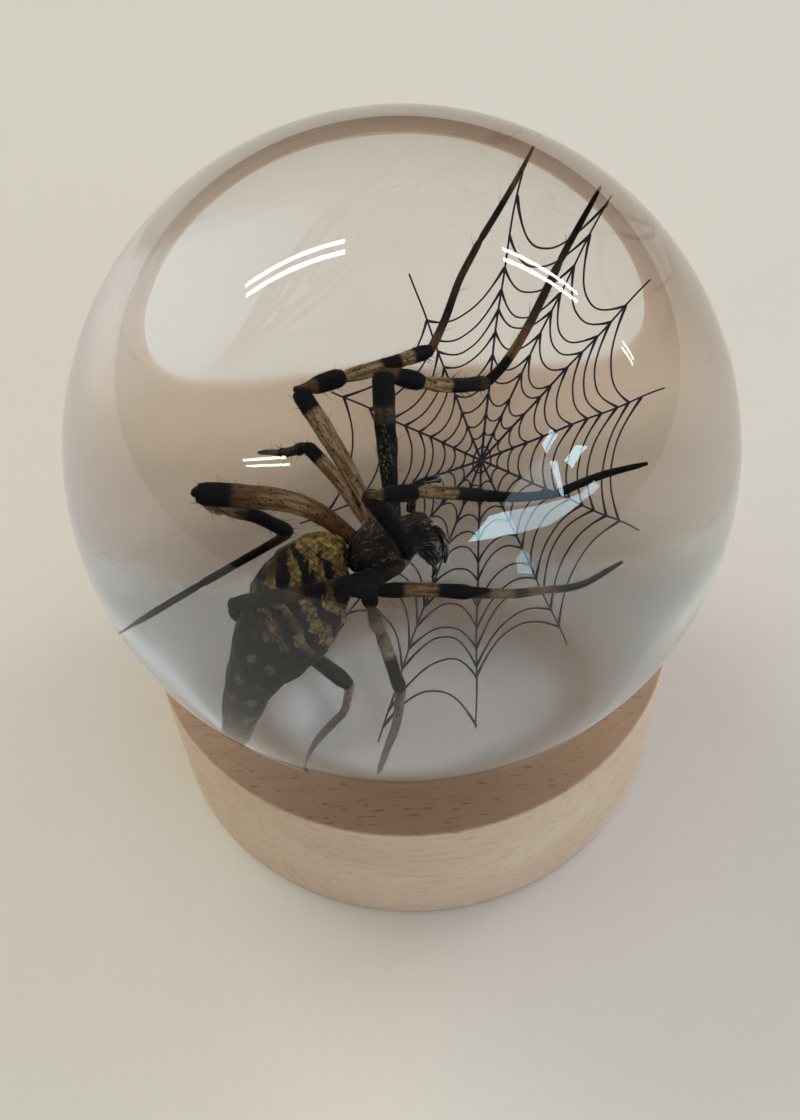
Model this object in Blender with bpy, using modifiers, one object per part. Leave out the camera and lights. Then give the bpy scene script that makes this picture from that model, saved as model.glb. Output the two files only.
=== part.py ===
"""A dried garden spider and a net web, cast in a clear resin ball that stands on a turned beech base.

Units are metres, +Z is up, the origin is the centre of the base's underside, and the viewer's side is -Y.
Lengths of the animal are written in millimetres from the ball's centre and turned into metres by MM.
"""

import math

import bmesh
import bpy
from mathutils import Matrix, Vector

MM = 0.001

# Resin ball: a 70 mm sphere with its underside ground flat
BALL_R = 35.0 * MM
BALL_Z = 47.5 * MM
FLAT_BELOW_CENTRE = 26.0 * MM
BALL_SEGMENTS = 36
BALL_RINGS = 18

# Beech base, a plain turned disc with its edges just broken
BASE_R = 31.8 * MM
BASE_H = 21.2 * MM
BASE_EDGE = 0.5 * MM
BASE_SEGMENTS = 72

# The resin is parted on an upright plane through the ball's axis, which crosses the spider and the web
PARTING_AZIMUTH = math.radians(60.0)
GAP = 0.3 * MM
POCKET_GAP = 0.35

# The web is a flat net: where its hub lies, and which way its face looks
HUB = Vector((5.4, 8.8, -10.5))
WEB_AZIMUTH = math.radians(203.0)
WEB_ELEVATION = math.radians(43.0)
WEB_THICK = 0.2 * MM
SPOKE_HALF_WIDTH = 0.12
ARC_HALF_WIDTH = 0.10
ARC_SAG = 0.15
HUB_RADIUS = 0.7
# each spoke: direction in degrees in the web's own plane, and length in millimetres
SPOKES = (
    (0.5, 17.3), (25.5, 17.3), (50.5, 17.3), (77.5, 16.7), (112.0, 15.4), (147.5, 15.8),
    (181.0, 16.6), (209.0, 17.0), (237.5, 18.6), (264.0, 18.4), (295.0, 17.3), (327.0, 17.6),
)
ARCS_PER_SECTOR = 6
ARC_FIRST = 2.2
ARC_LAST = 0.93

# The spider's body: its middle, and the ways that its head, its back and its left side point
PROSOMA = Vector((-1.3, -2.3, -6.9))
HEAD_WAY = Vector((0.899, 0.189, 0.394)).normalized()
BACK_WAY = Vector((-0.144, -0.724, 0.675)).normalized()
LEFT_WAY = BACK_WAY.cross(HEAD_WAY)
# the shield over the front body: distance along the head's way, and half its width there
PROSOMA_PROFILE = ((-3.2, 0.7), (-2.2, 1.9), (-0.8, 2.5), (0.6, 2.3), (1.8, 1.5), (2.9, 1.3), (3.4, 0.8))
PROSOMA_FLATNESS = 0.62
# the abdomen's middle line and its half width
ABDOMEN = (
    ((-4.3, -2.1, -7.6), 0.8), ((-5.6, -2.6, -7.8), 2.2), ((-7.3, -4.2, -8.8), 3.3), ((-8.4, -5.2, -10.4), 3.5),
    ((-9.5, -6.0, -12.4), 3.1), ((-10.5, -6.3, -14.9), 2.2), ((-11.0, -6.1, -17.3), 1.5), ((-11.1, -5.6, -19.3), 0.9),
)
SPINNERETS = (((-11.0, -5.4, -18.6), 0.8), ((-10.9, -4.9, -20.1), 0.4))

# Each leg, from where it leaves the body: the end of the thigh, of the knee piece, of the shin, then the
# bends of the long foot and its tip. W gives each leg's half width at the thigh, knee, shin and foot.
LEGS = {
    "left_1": {
        "root": (-0.9, 0.0, -4.8), "thigh": (-1.0, 6.0, 2.0), "knee": (1.8, 5.9, 0.8), "shin": (6.1, 8.8, -2.8),
        "foot": ((9.1, 11.9, -0.6), (12.0, 16.4, 2.5), (13.3, 17.5, 4.5)), "w": (0.95, 0.62, 0.52, 0.30),
    },
    "left_2": {
        "root": (-2.6, 0.4, -5.4), "thigh": (-6.9, 7.0, -0.6), "knee": (-3.7, 8.4, -0.9), "shin": (2.4, 11.3, -1.9),
        "foot": ((4.5, 15.1, 0.4), (7.7, 19.3, 2.8), (8.5, 21.6, 1.9)), "w": (0.92, 0.62, 0.52, 0.30),
    },
    "left_3": {
        "root": (-2.8, -0.1, -6.8), "thigh": (-6.0, 3.3, -2.4), "knee": (-6.6, 4.6, -4.1), "shin": (-7.7, 6.8, -6.5),
        "foot": ((-8.3, 8.4, -8.1), (-9.0, 10.0, -9.8)), "w": (0.72, 0.5, 0.42, 0.26),
    },
    "left_4": {
        "root": (-3.2, -1.4, -7.6), "thigh": (-14.2, 2.0, -4.9), "knee": (-12.3, 2.3, -7.0), "shin": (-8.0, 3.6, -11.0),
        "foot": ((-13.7, 2.1, -13.7), (-16.3, 1.5, -15.0), (-16.4, 3.1, -16.7)), "w": (0.92, 0.62, 0.5, 0.30),
    },
    "right_1": {
        "root": (0.1, -3.7, -6.3), "thigh": (-2.5, -5.1, 1.2), "knee": (1.1, -5.5, 1.7), "shin": (5.9, -3.6, -1.1),
        "foot": ((10.8, -3.8, -1.1), (14.0, -3.0, -0.3), (17.4, -2.3, 0.0)), "w": (0.80, 0.62, 0.5, 0.28),
    },
    "right_2": {
        "root": (-0.6, -4.1, -7.2), "thigh": (-5.1, -9.3, -3.9), "knee": (-2.4, -8.6, -5.1), "shin": (4.6, -8.8, -5.6),
        "foot": ((9.7, -8.5, -6.0), (12.3, -8.9, -5.3), (15.4, -7.8, -4.3)), "w": (0.80, 0.62, 0.48, 0.28),
    },
    "right_3": {
        "root": (-1.6, -3.6, -8.3), "thigh": (-2.8, -7.7, -7.3), "knee": (-2.2, -8.2, -9.6), "shin": (-1.0, -10.0, -13.6),
        "foot": ((-1.4, -10.6, -15.8), (-2.8, -11.5, -19.2)), "w": (0.66, 0.5, 0.42, 0.26),
    },
    "right_4": {
        "root": (-2.7, -3.9, -8.4), "thigh": (-12.2, -4.6, -9.4), "knee": (-11.2, -2.4, -12.4), "shin": (-4.3, -3.0, -18.8),
        "foot": ((-4.6, -3.6, -20.0), (-5.2, -3.0, -21.2), (-6.4, -1.7, -23.2)), "w": (0.85, 0.6, 0.5, 0.28),
    },
}
# neighbouring segments run into each other by this much at a joint
JOINT_LAP = 0.2
# the last right leg's thigh arches over the abdomen
THIGH_ARCH = {"right_4": (-7.7, -7.6, -5.8)}
# feelers and fangs: the points along each, and its half width there
MOUTHPARTS = (
    (((0.6, -1.6, -6.4), 0.45), ((2.2, -2.1, -5.8), 0.5), ((2.4, -3.0, -7.6), 0.3)),
    (((0.4, -0.4, -5.6), 0.45), ((0.9, 0.8, -4.3), 0.45), ((2.4, 1.2, -4.6), 0.3)),
    (((0.7, -1.3, -6.6), 0.75), ((1.9, -0.6, -7.6), 0.6), ((1.8, -0.2, -8.6), 0.35)),
    (((0.4, -2.0, -7.0), 0.75), ((1.6, -1.5, -8.1), 0.6), ((1.4, -1.1, -9.1), 0.35)),
)


def clear_scene():
    for ob in list(bpy.data.objects):
        bpy.data.objects.remove(ob, do_unlink=True)
    for store in (bpy.data.meshes, bpy.data.curves, bpy.data.materials, bpy.data.collections):
        for item in list(store):
            store.remove(item)


def make_collection(name):
    group = bpy.data.collections.new(name)
    bpy.context.scene.collection.children.link(group)
    return group


def make_material(name, colour, roughness, transmission=0.0):
    mat = bpy.data.materials.new(name)
    mat.use_nodes = True
    shader = mat.node_tree.nodes["Principled BSDF"]
    shader.inputs["Base Color"].default_value = (*colour, 1.0)
    shader.inputs["Roughness"].default_value = roughness
    shader.inputs["Metallic"].default_value = 0.0
    shader.inputs["Transmission Weight"].default_value = transmission
    mat.diffuse_color = (*colour, 1.0)
    return mat


def add_object(name, mesh, group, mat=None):
    ob = bpy.data.objects.new(name, mesh)
    group.objects.link(ob)
    if mat is not None:
        mesh.materials.clear()
        mesh.materials.append(mat)
    return ob


def mesh_from_curve(curve_object):
    """The mesh that a curve makes, with its caps welded; the curve is removed."""
    graph = bpy.context.evaluated_depsgraph_get()
    mesh = bpy.data.meshes.new_from_object(curve_object.evaluated_get(graph))
    bm = bmesh.new()
    bm.from_mesh(mesh)
    bmesh.ops.remove_doubles(bm, verts=bm.verts, dist=1e-6)
    bmesh.ops.recalc_face_normals(bm, faces=bm.faces)
    bm.to_mesh(mesh)
    bm.free()
    curve = curve_object.data
    bpy.data.objects.remove(curve_object)
    bpy.data.curves.remove(curve)
    return mesh


def tube(points, widths, resolution=1):
    """A closed tube through points (millimetres) with a half width at each of them."""
    curve = bpy.data.curves.new("tube", "CURVE")
    curve.dimensions = "3D"
    curve.bevel_depth = MM
    curve.bevel_resolution = resolution
    curve.use_fill_caps = True
    curve.twist_mode = "MINIMUM"
    spline = curve.splines.new("POLY")
    spline.points.add(len(points) - 1)
    for point, place, width in zip(spline.points, points, widths):
        point.co = (*(Vector(place) * MM), 1.0)
        point.radius = width
    ob = bpy.data.objects.new("tube", curve)
    bpy.context.scene.collection.objects.link(ob)
    return mesh_from_curve(ob)


def stretched(points, grow):
    """The same points with both ends moved out along the run by grow."""
    pts = [Vector(p) for p in points]
    pts[0] = pts[0] + (pts[0] - pts[1]).normalized() * grow
    pts[-1] = pts[-1] + (pts[-1] - pts[-2]).normalized() * grow
    return pts


def animal_tubes(grow):
    """Every segment of the spider as a closed tube, made fatter and longer by grow (millimetres)."""
    meshes = []
    side = grow / math.cos(math.radians(30.0))

    def add(points, widths, resolution=1):
        meshes.append(tube(stretched(points, grow + JOINT_LAP), [w + side for w in widths], resolution))

    for name, leg in LEGS.items():
        root, thigh, knee, shin = (Vector(leg[k]) for k in ("root", "thigh", "knee", "shin"))
        w_thigh, w_knee, w_shin, w_foot = leg["w"]
        start = PROSOMA + (root - PROSOMA) * 0.35
        if name in THIGH_ARCH:
            arch = Vector(THIGH_ARCH[name])
            add([start, root, arch, thigh], [w_thigh * 0.7, w_thigh * 0.75, w_thigh, w_knee * 0.95])
        else:
            middle = root.lerp(thigh, 0.45)
            add([start, root, middle, thigh], [w_thigh * 0.7, w_thigh * 0.75, w_thigh, w_knee * 0.95])
        add([thigh, knee], [w_knee, w_knee * 0.9])
        add([knee, knee.lerp(shin, 0.5), shin], [w_shin * 0.9, w_shin, w_shin * 0.9])
        foot = [shin] + [Vector(p) for p in leg["foot"]]
        last = len(foot) - 1
        add(foot, [w_foot * 1.25 + (w_foot * 0.6 - w_foot * 1.25) * i / last for i in range(last + 1)])
    for run in MOUTHPARTS:
        add([p for p, w in run], [w for p, w in run])
    add([p for p, w in SPINNERETS], [w for p, w in SPINNERETS])
    add([p for p, w in ABDOMEN], [w for p, w in ABDOMEN], 4)

    pts = [Vector((d, 0.0, 0.0)) for d, w in PROSOMA_PROFILE]
    shield = tube(stretched(pts, grow + JOINT_LAP), [w + side for d, w in PROSOMA_PROFILE], 4)
    rotation = Matrix((HEAD_WAY, LEFT_WAY, BACK_WAY)).transposed().to_4x4()
    flatness = PROSOMA_FLATNESS + (0.16 if grow else 0.0)
    shield.transform(Matrix.Translation(PROSOMA * MM) @ rotation @ Matrix.Diagonal((1.0, 1.0, flatness, 1.0)))
    meshes.append(shield)
    return meshes


def boolean(mesh, other, operation, crossing=False):
    """Cut or join two meshes, and return the result as a new mesh. Crossing says that one may cross itself."""
    a = bpy.data.objects.new("a", mesh)
    b = bpy.data.objects.new("b", other)
    bpy.context.scene.collection.objects.link(a)
    bpy.context.scene.collection.objects.link(b)
    mod = a.modifiers.new("cut", "BOOLEAN")
    mod.operation = operation
    mod.solver = "EXACT"
    mod.use_self = crossing
    mod.object = b
    graph = bpy.context.evaluated_depsgraph_get()
    graph.update()
    result = bpy.data.meshes.new_from_object(a.evaluated_get(graph))
    bpy.data.objects.remove(a)
    bpy.data.objects.remove(b)
    return result


def fused_animal():
    """The whole spider as one closed body."""
    meshes = animal_tubes(0.0)
    result = meshes.pop()
    for mesh in reversed(meshes):
        result = boolean(result, mesh, "UNION")
    return result


def pocket_shape():
    """The hollow that the spider lies in, the same shape with room all round it."""
    meshes = animal_tubes(POCKET_GAP)
    shield = meshes.pop()
    bm = bmesh.new()
    for mesh in meshes:
        bm.from_mesh(mesh)
    rest = bpy.data.meshes.new("rest")
    bm.to_mesh(rest)
    bm.free()
    return boolean(shield, rest, "UNION", crossing=True)


def web_frame():
    """The web's own axes and hub, as a matrix."""
    face = Vector((
        math.cos(WEB_ELEVATION) * math.cos(WEB_AZIMUTH),
        math.cos(WEB_ELEVATION) * math.sin(WEB_AZIMUTH),
        math.sin(WEB_ELEVATION),
    ))
    across = (Vector((1.0, 0.0, 0.0)) - face * face.x).normalized()
    up = face.cross(across)
    rotation = Matrix((across, up, face)).transposed().to_4x4()
    return Matrix.Translation(Vector((0.0, 0.0, BALL_Z)) + HUB * MM) @ rotation


def arc_point(r_a, r_b, a, b, t, offset):
    """A point on a thread that hangs between two spokes, sagging towards the hub."""
    r = (r_a + (r_b - r_a) * t) * (1.0 - ARC_SAG * 4.0 * t * (1.0 - t)) + offset
    angle = a + (b - a) * t
    return (r * math.cos(angle), r * math.sin(angle))


def inset(r):
    return math.asin(min(0.9, SPOKE_HALF_WIDTH / r))


def thread(r_a, r_b, a, b, offset, steps=2):
    """The edge of a hanging thread between the sides of its two spokes."""
    span = b - a
    t_0 = inset(r_a) / span
    t_1 = 1.0 - inset(r_b) / span
    return [arc_point(r_a, r_b, a, b, t_0 + (t_1 - t_0) * i / steps, offset) for i in range(steps + 1)]


def web_outlines():
    """The net's outer outline and its holes, in millimetres in its own plane."""
    outlines = []
    outer = []
    count = len(SPOKES)
    for i in range(count):
        a_deg, len_a = SPOKES[i]
        b_deg, len_b = SPOKES[(i + 1) % count]
        if b_deg < a_deg:
            b_deg += 360.0
        a, b = math.radians(a_deg), math.radians(b_deg)
        radii = []
        for k in range(ARCS_PER_SECTOR):
            f = k / (ARCS_PER_SECTOR - 1)
            radii.append((
                ARC_FIRST + (len_a * ARC_LAST - ARC_FIRST) * f,
                ARC_FIRST + (len_b * ARC_LAST - ARC_FIRST) * f,
            ))
        hub_a, hub_b = a + inset(HUB_RADIUS), b - inset(HUB_RADIUS)
        first = thread(*radii[0], a, b, -ARC_HALF_WIDTH)
        outlines.append(
            [(HUB_RADIUS * math.cos(hub_a), HUB_RADIUS * math.sin(hub_a))] + first
            + [(HUB_RADIUS * math.cos(hub_b), HUB_RADIUS * math.sin(hub_b))]
        )
        for inner, outside in zip(radii, radii[1:]):
            low = thread(*inner, a, b, ARC_HALF_WIDTH)
            high = thread(*outside, a, b, -ARC_HALF_WIDTH)
            outlines.append(low + high[::-1])
        tip = len_a
        turn = inset(tip)
        outer.append((tip * math.cos(a + turn), tip * math.sin(a + turn)))
        outer += thread(*radii[-1], a, b, ARC_HALF_WIDTH)
        tip = len_b
        turn = inset(tip)
        outer.append((tip * math.cos(b - turn), tip * math.sin(b - turn)))
    return [outer] + outlines


def web_mesh():
    """The net as a flat sheet with its holes cut through."""
    curve = bpy.data.curves.new("web", "CURVE")
    curve.dimensions = "2D"
    curve.fill_mode = "BOTH"
    curve.extrude = WEB_THICK / 2.0
    for outline in web_outlines():
        spline = curve.splines.new("POLY")
        spline.points.add(len(outline) - 1)
        spline.use_cyclic_u = True
        for point, (x, y) in zip(spline.points, outline):
            point.co = (x * MM, y * MM, 0.0, 1.0)
    ob = bpy.data.objects.new("web", curve)
    bpy.context.scene.collection.objects.link(ob)
    mesh = mesh_from_curve(ob)
    mesh.transform(web_frame())
    return mesh


def web_slot():
    """The thin round hollow that the net lies in."""
    bm = bmesh.new()
    reach = (max(length for angle, length in SPOKES) + 0.8) * MM
    depth = WEB_THICK + 2.0 * GAP
    bmesh.ops.create_cone(bm, cap_ends=True, segments=24, radius1=reach, radius2=reach, depth=depth)
    mesh = bpy.data.meshes.new("slot")
    bm.to_mesh(mesh)
    bm.free()
    mesh.transform(web_frame())
    return mesh


def half_ball(side):
    """Half of the ball, on the side that the parting plane's normal points to or away from."""
    normal = Vector((math.sin(PARTING_AZIMUTH), -math.cos(PARTING_AZIMUTH), 0.0)) * side
    bm = bmesh.new()
    bmesh.ops.create_uvsphere(bm, u_segments=BALL_SEGMENTS, v_segments=BALL_RINGS, radius=BALL_R)
    cuts = (
        (Vector((0.0, 0.0, -FLAT_BELOW_CENTRE)), Vector((0.0, 0.0, -1.0))),
        (normal * GAP / 2.0, -normal),
    )
    for place, away in cuts:
        geom = bm.verts[:] + bm.edges[:] + bm.faces[:]
        bmesh.ops.bisect_plane(bm, geom=geom, plane_co=place, plane_no=away, clear_outer=True, dist=1e-7)
        edges = [e for e in bm.edges if e.is_boundary]
        bmesh.ops.holes_fill(bm, edges=edges)
    bmesh.ops.recalc_face_normals(bm, faces=bm.faces)
    bmesh.ops.translate(bm, verts=bm.verts, vec=(0.0, 0.0, BALL_Z))
    mesh = bpy.data.meshes.new("half")
    bm.to_mesh(mesh)
    bm.free()
    return mesh


def round_off(ob, degrees=40.0):
    ob.data.shade_smooth()
    ob.data.set_sharp_from_angle(angle=math.radians(degrees))


def build():
    clear_scene()
    group = make_collection("spider_in_resin_ball")
    cutters = make_collection("cutters")
    centre = Matrix.Translation((0.0, 0.0, BALL_Z))

    beech = make_material("beech", (0.62, 0.45, 0.30), 0.55)
    resin = make_material("clear_resin", (0.93, 0.95, 0.96), 0.03, 1.0)
    body = make_material("dried_spider", (0.09, 0.07, 0.04), 0.6)
    net = make_material("dark_net", (0.03, 0.02, 0.03), 0.5)

    bm = bmesh.new()
    bmesh.ops.create_cone(
        bm, cap_ends=True, segments=BASE_SEGMENTS, radius1=BASE_R, radius2=BASE_R, depth=BASE_H,
        matrix=Matrix.Translation((0.0, 0.0, BASE_H / 2.0)),
    )
    mesh = bpy.data.meshes.new("wood_base")
    bm.to_mesh(mesh)
    bm.free()
    base = add_object("wood_base", mesh, group, beech)
    bevel = base.modifiers.new("edge", "BEVEL")
    bevel.width = BASE_EDGE
    bevel.segments = 1
    bevel.limit_method = "ANGLE"
    bevel.angle_limit = math.radians(60.0)
    round_off(base)

    spider_mesh = fused_animal()
    spider_mesh.transform(centre)
    spider = add_object("spider", spider_mesh, group, body)
    round_off(spider)

    web = add_object("web", web_mesh(), group, net)

    pocket_mesh = pocket_shape()
    pocket_mesh.transform(centre)
    for name, side in (("resin_left", -1.0), ("resin_right", 1.0)):
        half = boolean(half_ball(side), pocket_mesh.copy(), "DIFFERENCE")
        half = boolean(half, web_slot(), "DIFFERENCE")
        ob = add_object(name, half, group, resin)
        round_off(ob, 30.0)

    pocket = add_object("pocket_guide", pocket_mesh, cutters)
    pocket.hide_render = True
    pocket.display_type = "WIRE"
    return group


if __name__ == "__main__":
    build()
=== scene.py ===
"""The finished look of a dried garden spider and a net web in a clear resin ball on a turned beech base.

Lengths are metres. Lengths of the animal and the web are written in millimetres from the ball's centre,
with +X to the viewer's right, +Y away from the viewer and +Z up, and are turned into metres by MM.
"""

import itertools
import math

import bmesh
import bpy
import numpy as np
from mathutils import Matrix, Vector, noise


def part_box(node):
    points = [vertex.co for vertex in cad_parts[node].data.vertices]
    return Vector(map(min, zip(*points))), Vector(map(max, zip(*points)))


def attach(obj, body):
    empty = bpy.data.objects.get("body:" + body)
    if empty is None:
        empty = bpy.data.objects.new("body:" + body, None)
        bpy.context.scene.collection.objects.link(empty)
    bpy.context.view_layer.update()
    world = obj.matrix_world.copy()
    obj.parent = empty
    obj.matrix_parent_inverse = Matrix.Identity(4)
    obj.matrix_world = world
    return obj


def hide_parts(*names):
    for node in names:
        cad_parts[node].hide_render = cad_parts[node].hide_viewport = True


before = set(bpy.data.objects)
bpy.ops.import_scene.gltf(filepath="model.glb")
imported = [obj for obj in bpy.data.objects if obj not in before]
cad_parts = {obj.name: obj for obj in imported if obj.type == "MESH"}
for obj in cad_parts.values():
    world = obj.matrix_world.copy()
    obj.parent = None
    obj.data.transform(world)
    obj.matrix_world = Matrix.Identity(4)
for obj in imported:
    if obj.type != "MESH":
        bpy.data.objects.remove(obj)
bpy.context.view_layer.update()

bl_info = {
    "name": "Spider in a Resin Ball",
    "version": (1, 0, 0),
    "blender": (4, 5, 0),
    "location": "3D View > Sidebar > Resin Ball",
    "description": "Builds the clear ball, the spider, the net web, the beech base and a plain studio",
    "category": "Object",
}

MM = 0.001
BODY = "root"

BASE_RADIUS, _, BASE_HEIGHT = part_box("wood_base")[1]
FLAT_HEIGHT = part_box("resin_left")[0].z
FLAT_BELOW_CENTRE = 26.0 * MM
BALL_RADIUS = 35.0 * MM
BALL_CENTRE = Vector((0.0, 0.0, FLAT_HEIGHT + FLAT_BELOW_CENTRE))
# The lower edge is rounded evenly over a spread to both sides of where the flat would meet the ball
RIM_ANGLE = math.acos(FLAT_BELOW_CENTRE / BALL_RADIUS)
RIM_SPREAD = math.radians(17.0)
RIM_CUT = BALL_RADIUS * math.tan(RIM_ANGLE) * RIM_SPREAD / 6
# How finely the base and the ball are turned, and the base's rings on its top, edge and wall
TURNED_SIDES = 256
TOP_RINGS, EDGE_RINGS, WALL_RINGS = 48, 6, 24

# The photograph's frame and the view of it, with the ball's middle at a named pixel
PHOTO_WIDTH, PHOTO_HEIGHT = 800, 1120
VIEW_FOCAL_PIXELS = 1200.0
VIEW_DISTANCE = 128.8 * MM
VIEW_ELEVATION = math.radians(46.8)
VIEW_ROLL = math.radians(3.19)
BALL_PIXEL = (401.7, 453.4)
SENSOR_WIDTH = 36.0

# The ways in which the sky glows, and how near to them a glow starts, as the cosine of the angle
WINDOW_SIDE = (0.705, -0.705, 0.07)
FAR_SIDE = (0.783, 0.325, 0.53)
LEFT_SIDE = (-0.783, 0.325, 0.53)
GLOW_EDGE = 0.72
# The ceiling's tubes, in pairs, each pair with its middle and length in metres
TUBES = (
    ("tube_left", (-0.96, 0.8, 1.8), 1.15), ("tube_right", (1.68, 0.85, 1.8), 1.25),
    ("tube_front", (-2.25, -1.67, 1.8), 1.1), ("tube_far", (5.0, 0.9, 1.8), 1.3),
)
TUBE_WIDTH, TUBE_GAP = 0.06, 0.15
TUBE_COLOUR = (1.0, 0.97, 0.9)
# The window's panes, each with its share of the window's glow and with the pixels of the photograph
# where its corners are mirrored in the ball's front
PANES = (
    (0.6, ((508, 511), (580, 494), (594, 480), (600, 487), (581, 502), (550, 525), (517, 533))),
    (0.95, ((468, 542), (489, 516), (508, 511), (517, 533))),
    (1.0, ((551, 429), (558, 435), (546, 454), (542, 444))),
    (1.0, ((564, 460), (576, 445), (588, 446), (583, 452), (572, 468))),
    (1.0, ((549, 461), (557, 461), (564, 497), (560, 494))),
    (0.16, ((543, 453), (550, 466), (560, 497), (527, 505), (501, 506), (517, 484))),
    (0.35, ((523, 548), (530, 556), (532, 574), (517, 573), (516, 558))),
    (0.2, ((568, 567), (573, 569), (573, 583), (553, 584), (554, 576))),
)
PANE_DISTANCE = 1.5
FLOOR_HALF_WIDTH = 2.0
BACKDROP_RADIUS = 1.9
# So many turns inside the ball does the light need, or its low parts go dark
LIGHT_BOUNCES = 24

# The spider's body: its middle, and the ways that its head, its back and its left side point
PROSOMA = Vector((-1.3, -2.3, -6.9))
HEAD_WAY = Vector((0.899, 0.189, 0.394)).normalized()
BACK_WAY = Vector((-0.144, -0.724, 0.675)).normalized()
LEFT_WAY = BACK_WAY.cross(HEAD_WAY)

# How each kind of leg segment swells and narrows: share of its length, share of its half width
GIRTH = {
    "hip": ((0.0, 0.9), (0.5, 1.05), (1.0, 0.85)),
    "thigh": (
        (0.0, 0.5), (0.08, 0.66), (0.3, 0.82), (0.6, 0.95), (0.85, 1.0), (0.96, 0.97), (1.0, 0.78),
    ),
    "knee": ((0.0, 0.62), (0.22, 0.64), (0.42, 0.98), (0.7, 1.12), (0.88, 1.05), (1.0, 0.74)),
    "shin": ((0.0, 0.62), (0.08, 0.84), (0.2, 1.0), (0.4, 0.98), (0.7, 0.92), (0.92, 1.0), (1.0, 0.72)),
    "foot": ((0.0, 0.7), (0.05, 1.0), (0.2, 0.9), (0.6, 0.78), (0.95, 0.72), (1.0, 0.55)),
    "toe": ((0.0, 0.66), (0.1, 0.9), (0.5, 0.8), (0.85, 0.6), (1.0, 0.36)),
}

# Bands of colour: how dark the skin is there, how brown, and how thick its pale flecks are, from 0 to 1
TONES = {
    "black": (1.0, 0.0, 0.06), "beige": (0.0, 0.1, 0.0), "pale": (0.12, 0.0, 0.0), "brown": (0.5, 0.9, 0.0),
    "orange": (0.12, 1.0, 0.0), "grey": (0.55, 0.0, 0.0), "speckled": (1.0, 0.0, 1.0),
    "umber": (0.82, 0.6, 0.1), "rust": (0.4, 1.0, 0.0), "dusk": (0.36, 0.2, 0.0), "ash": (0.4, 0.0, 0.9),
    "smoke": (0.62, 0.0, 0.8),
}

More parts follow.
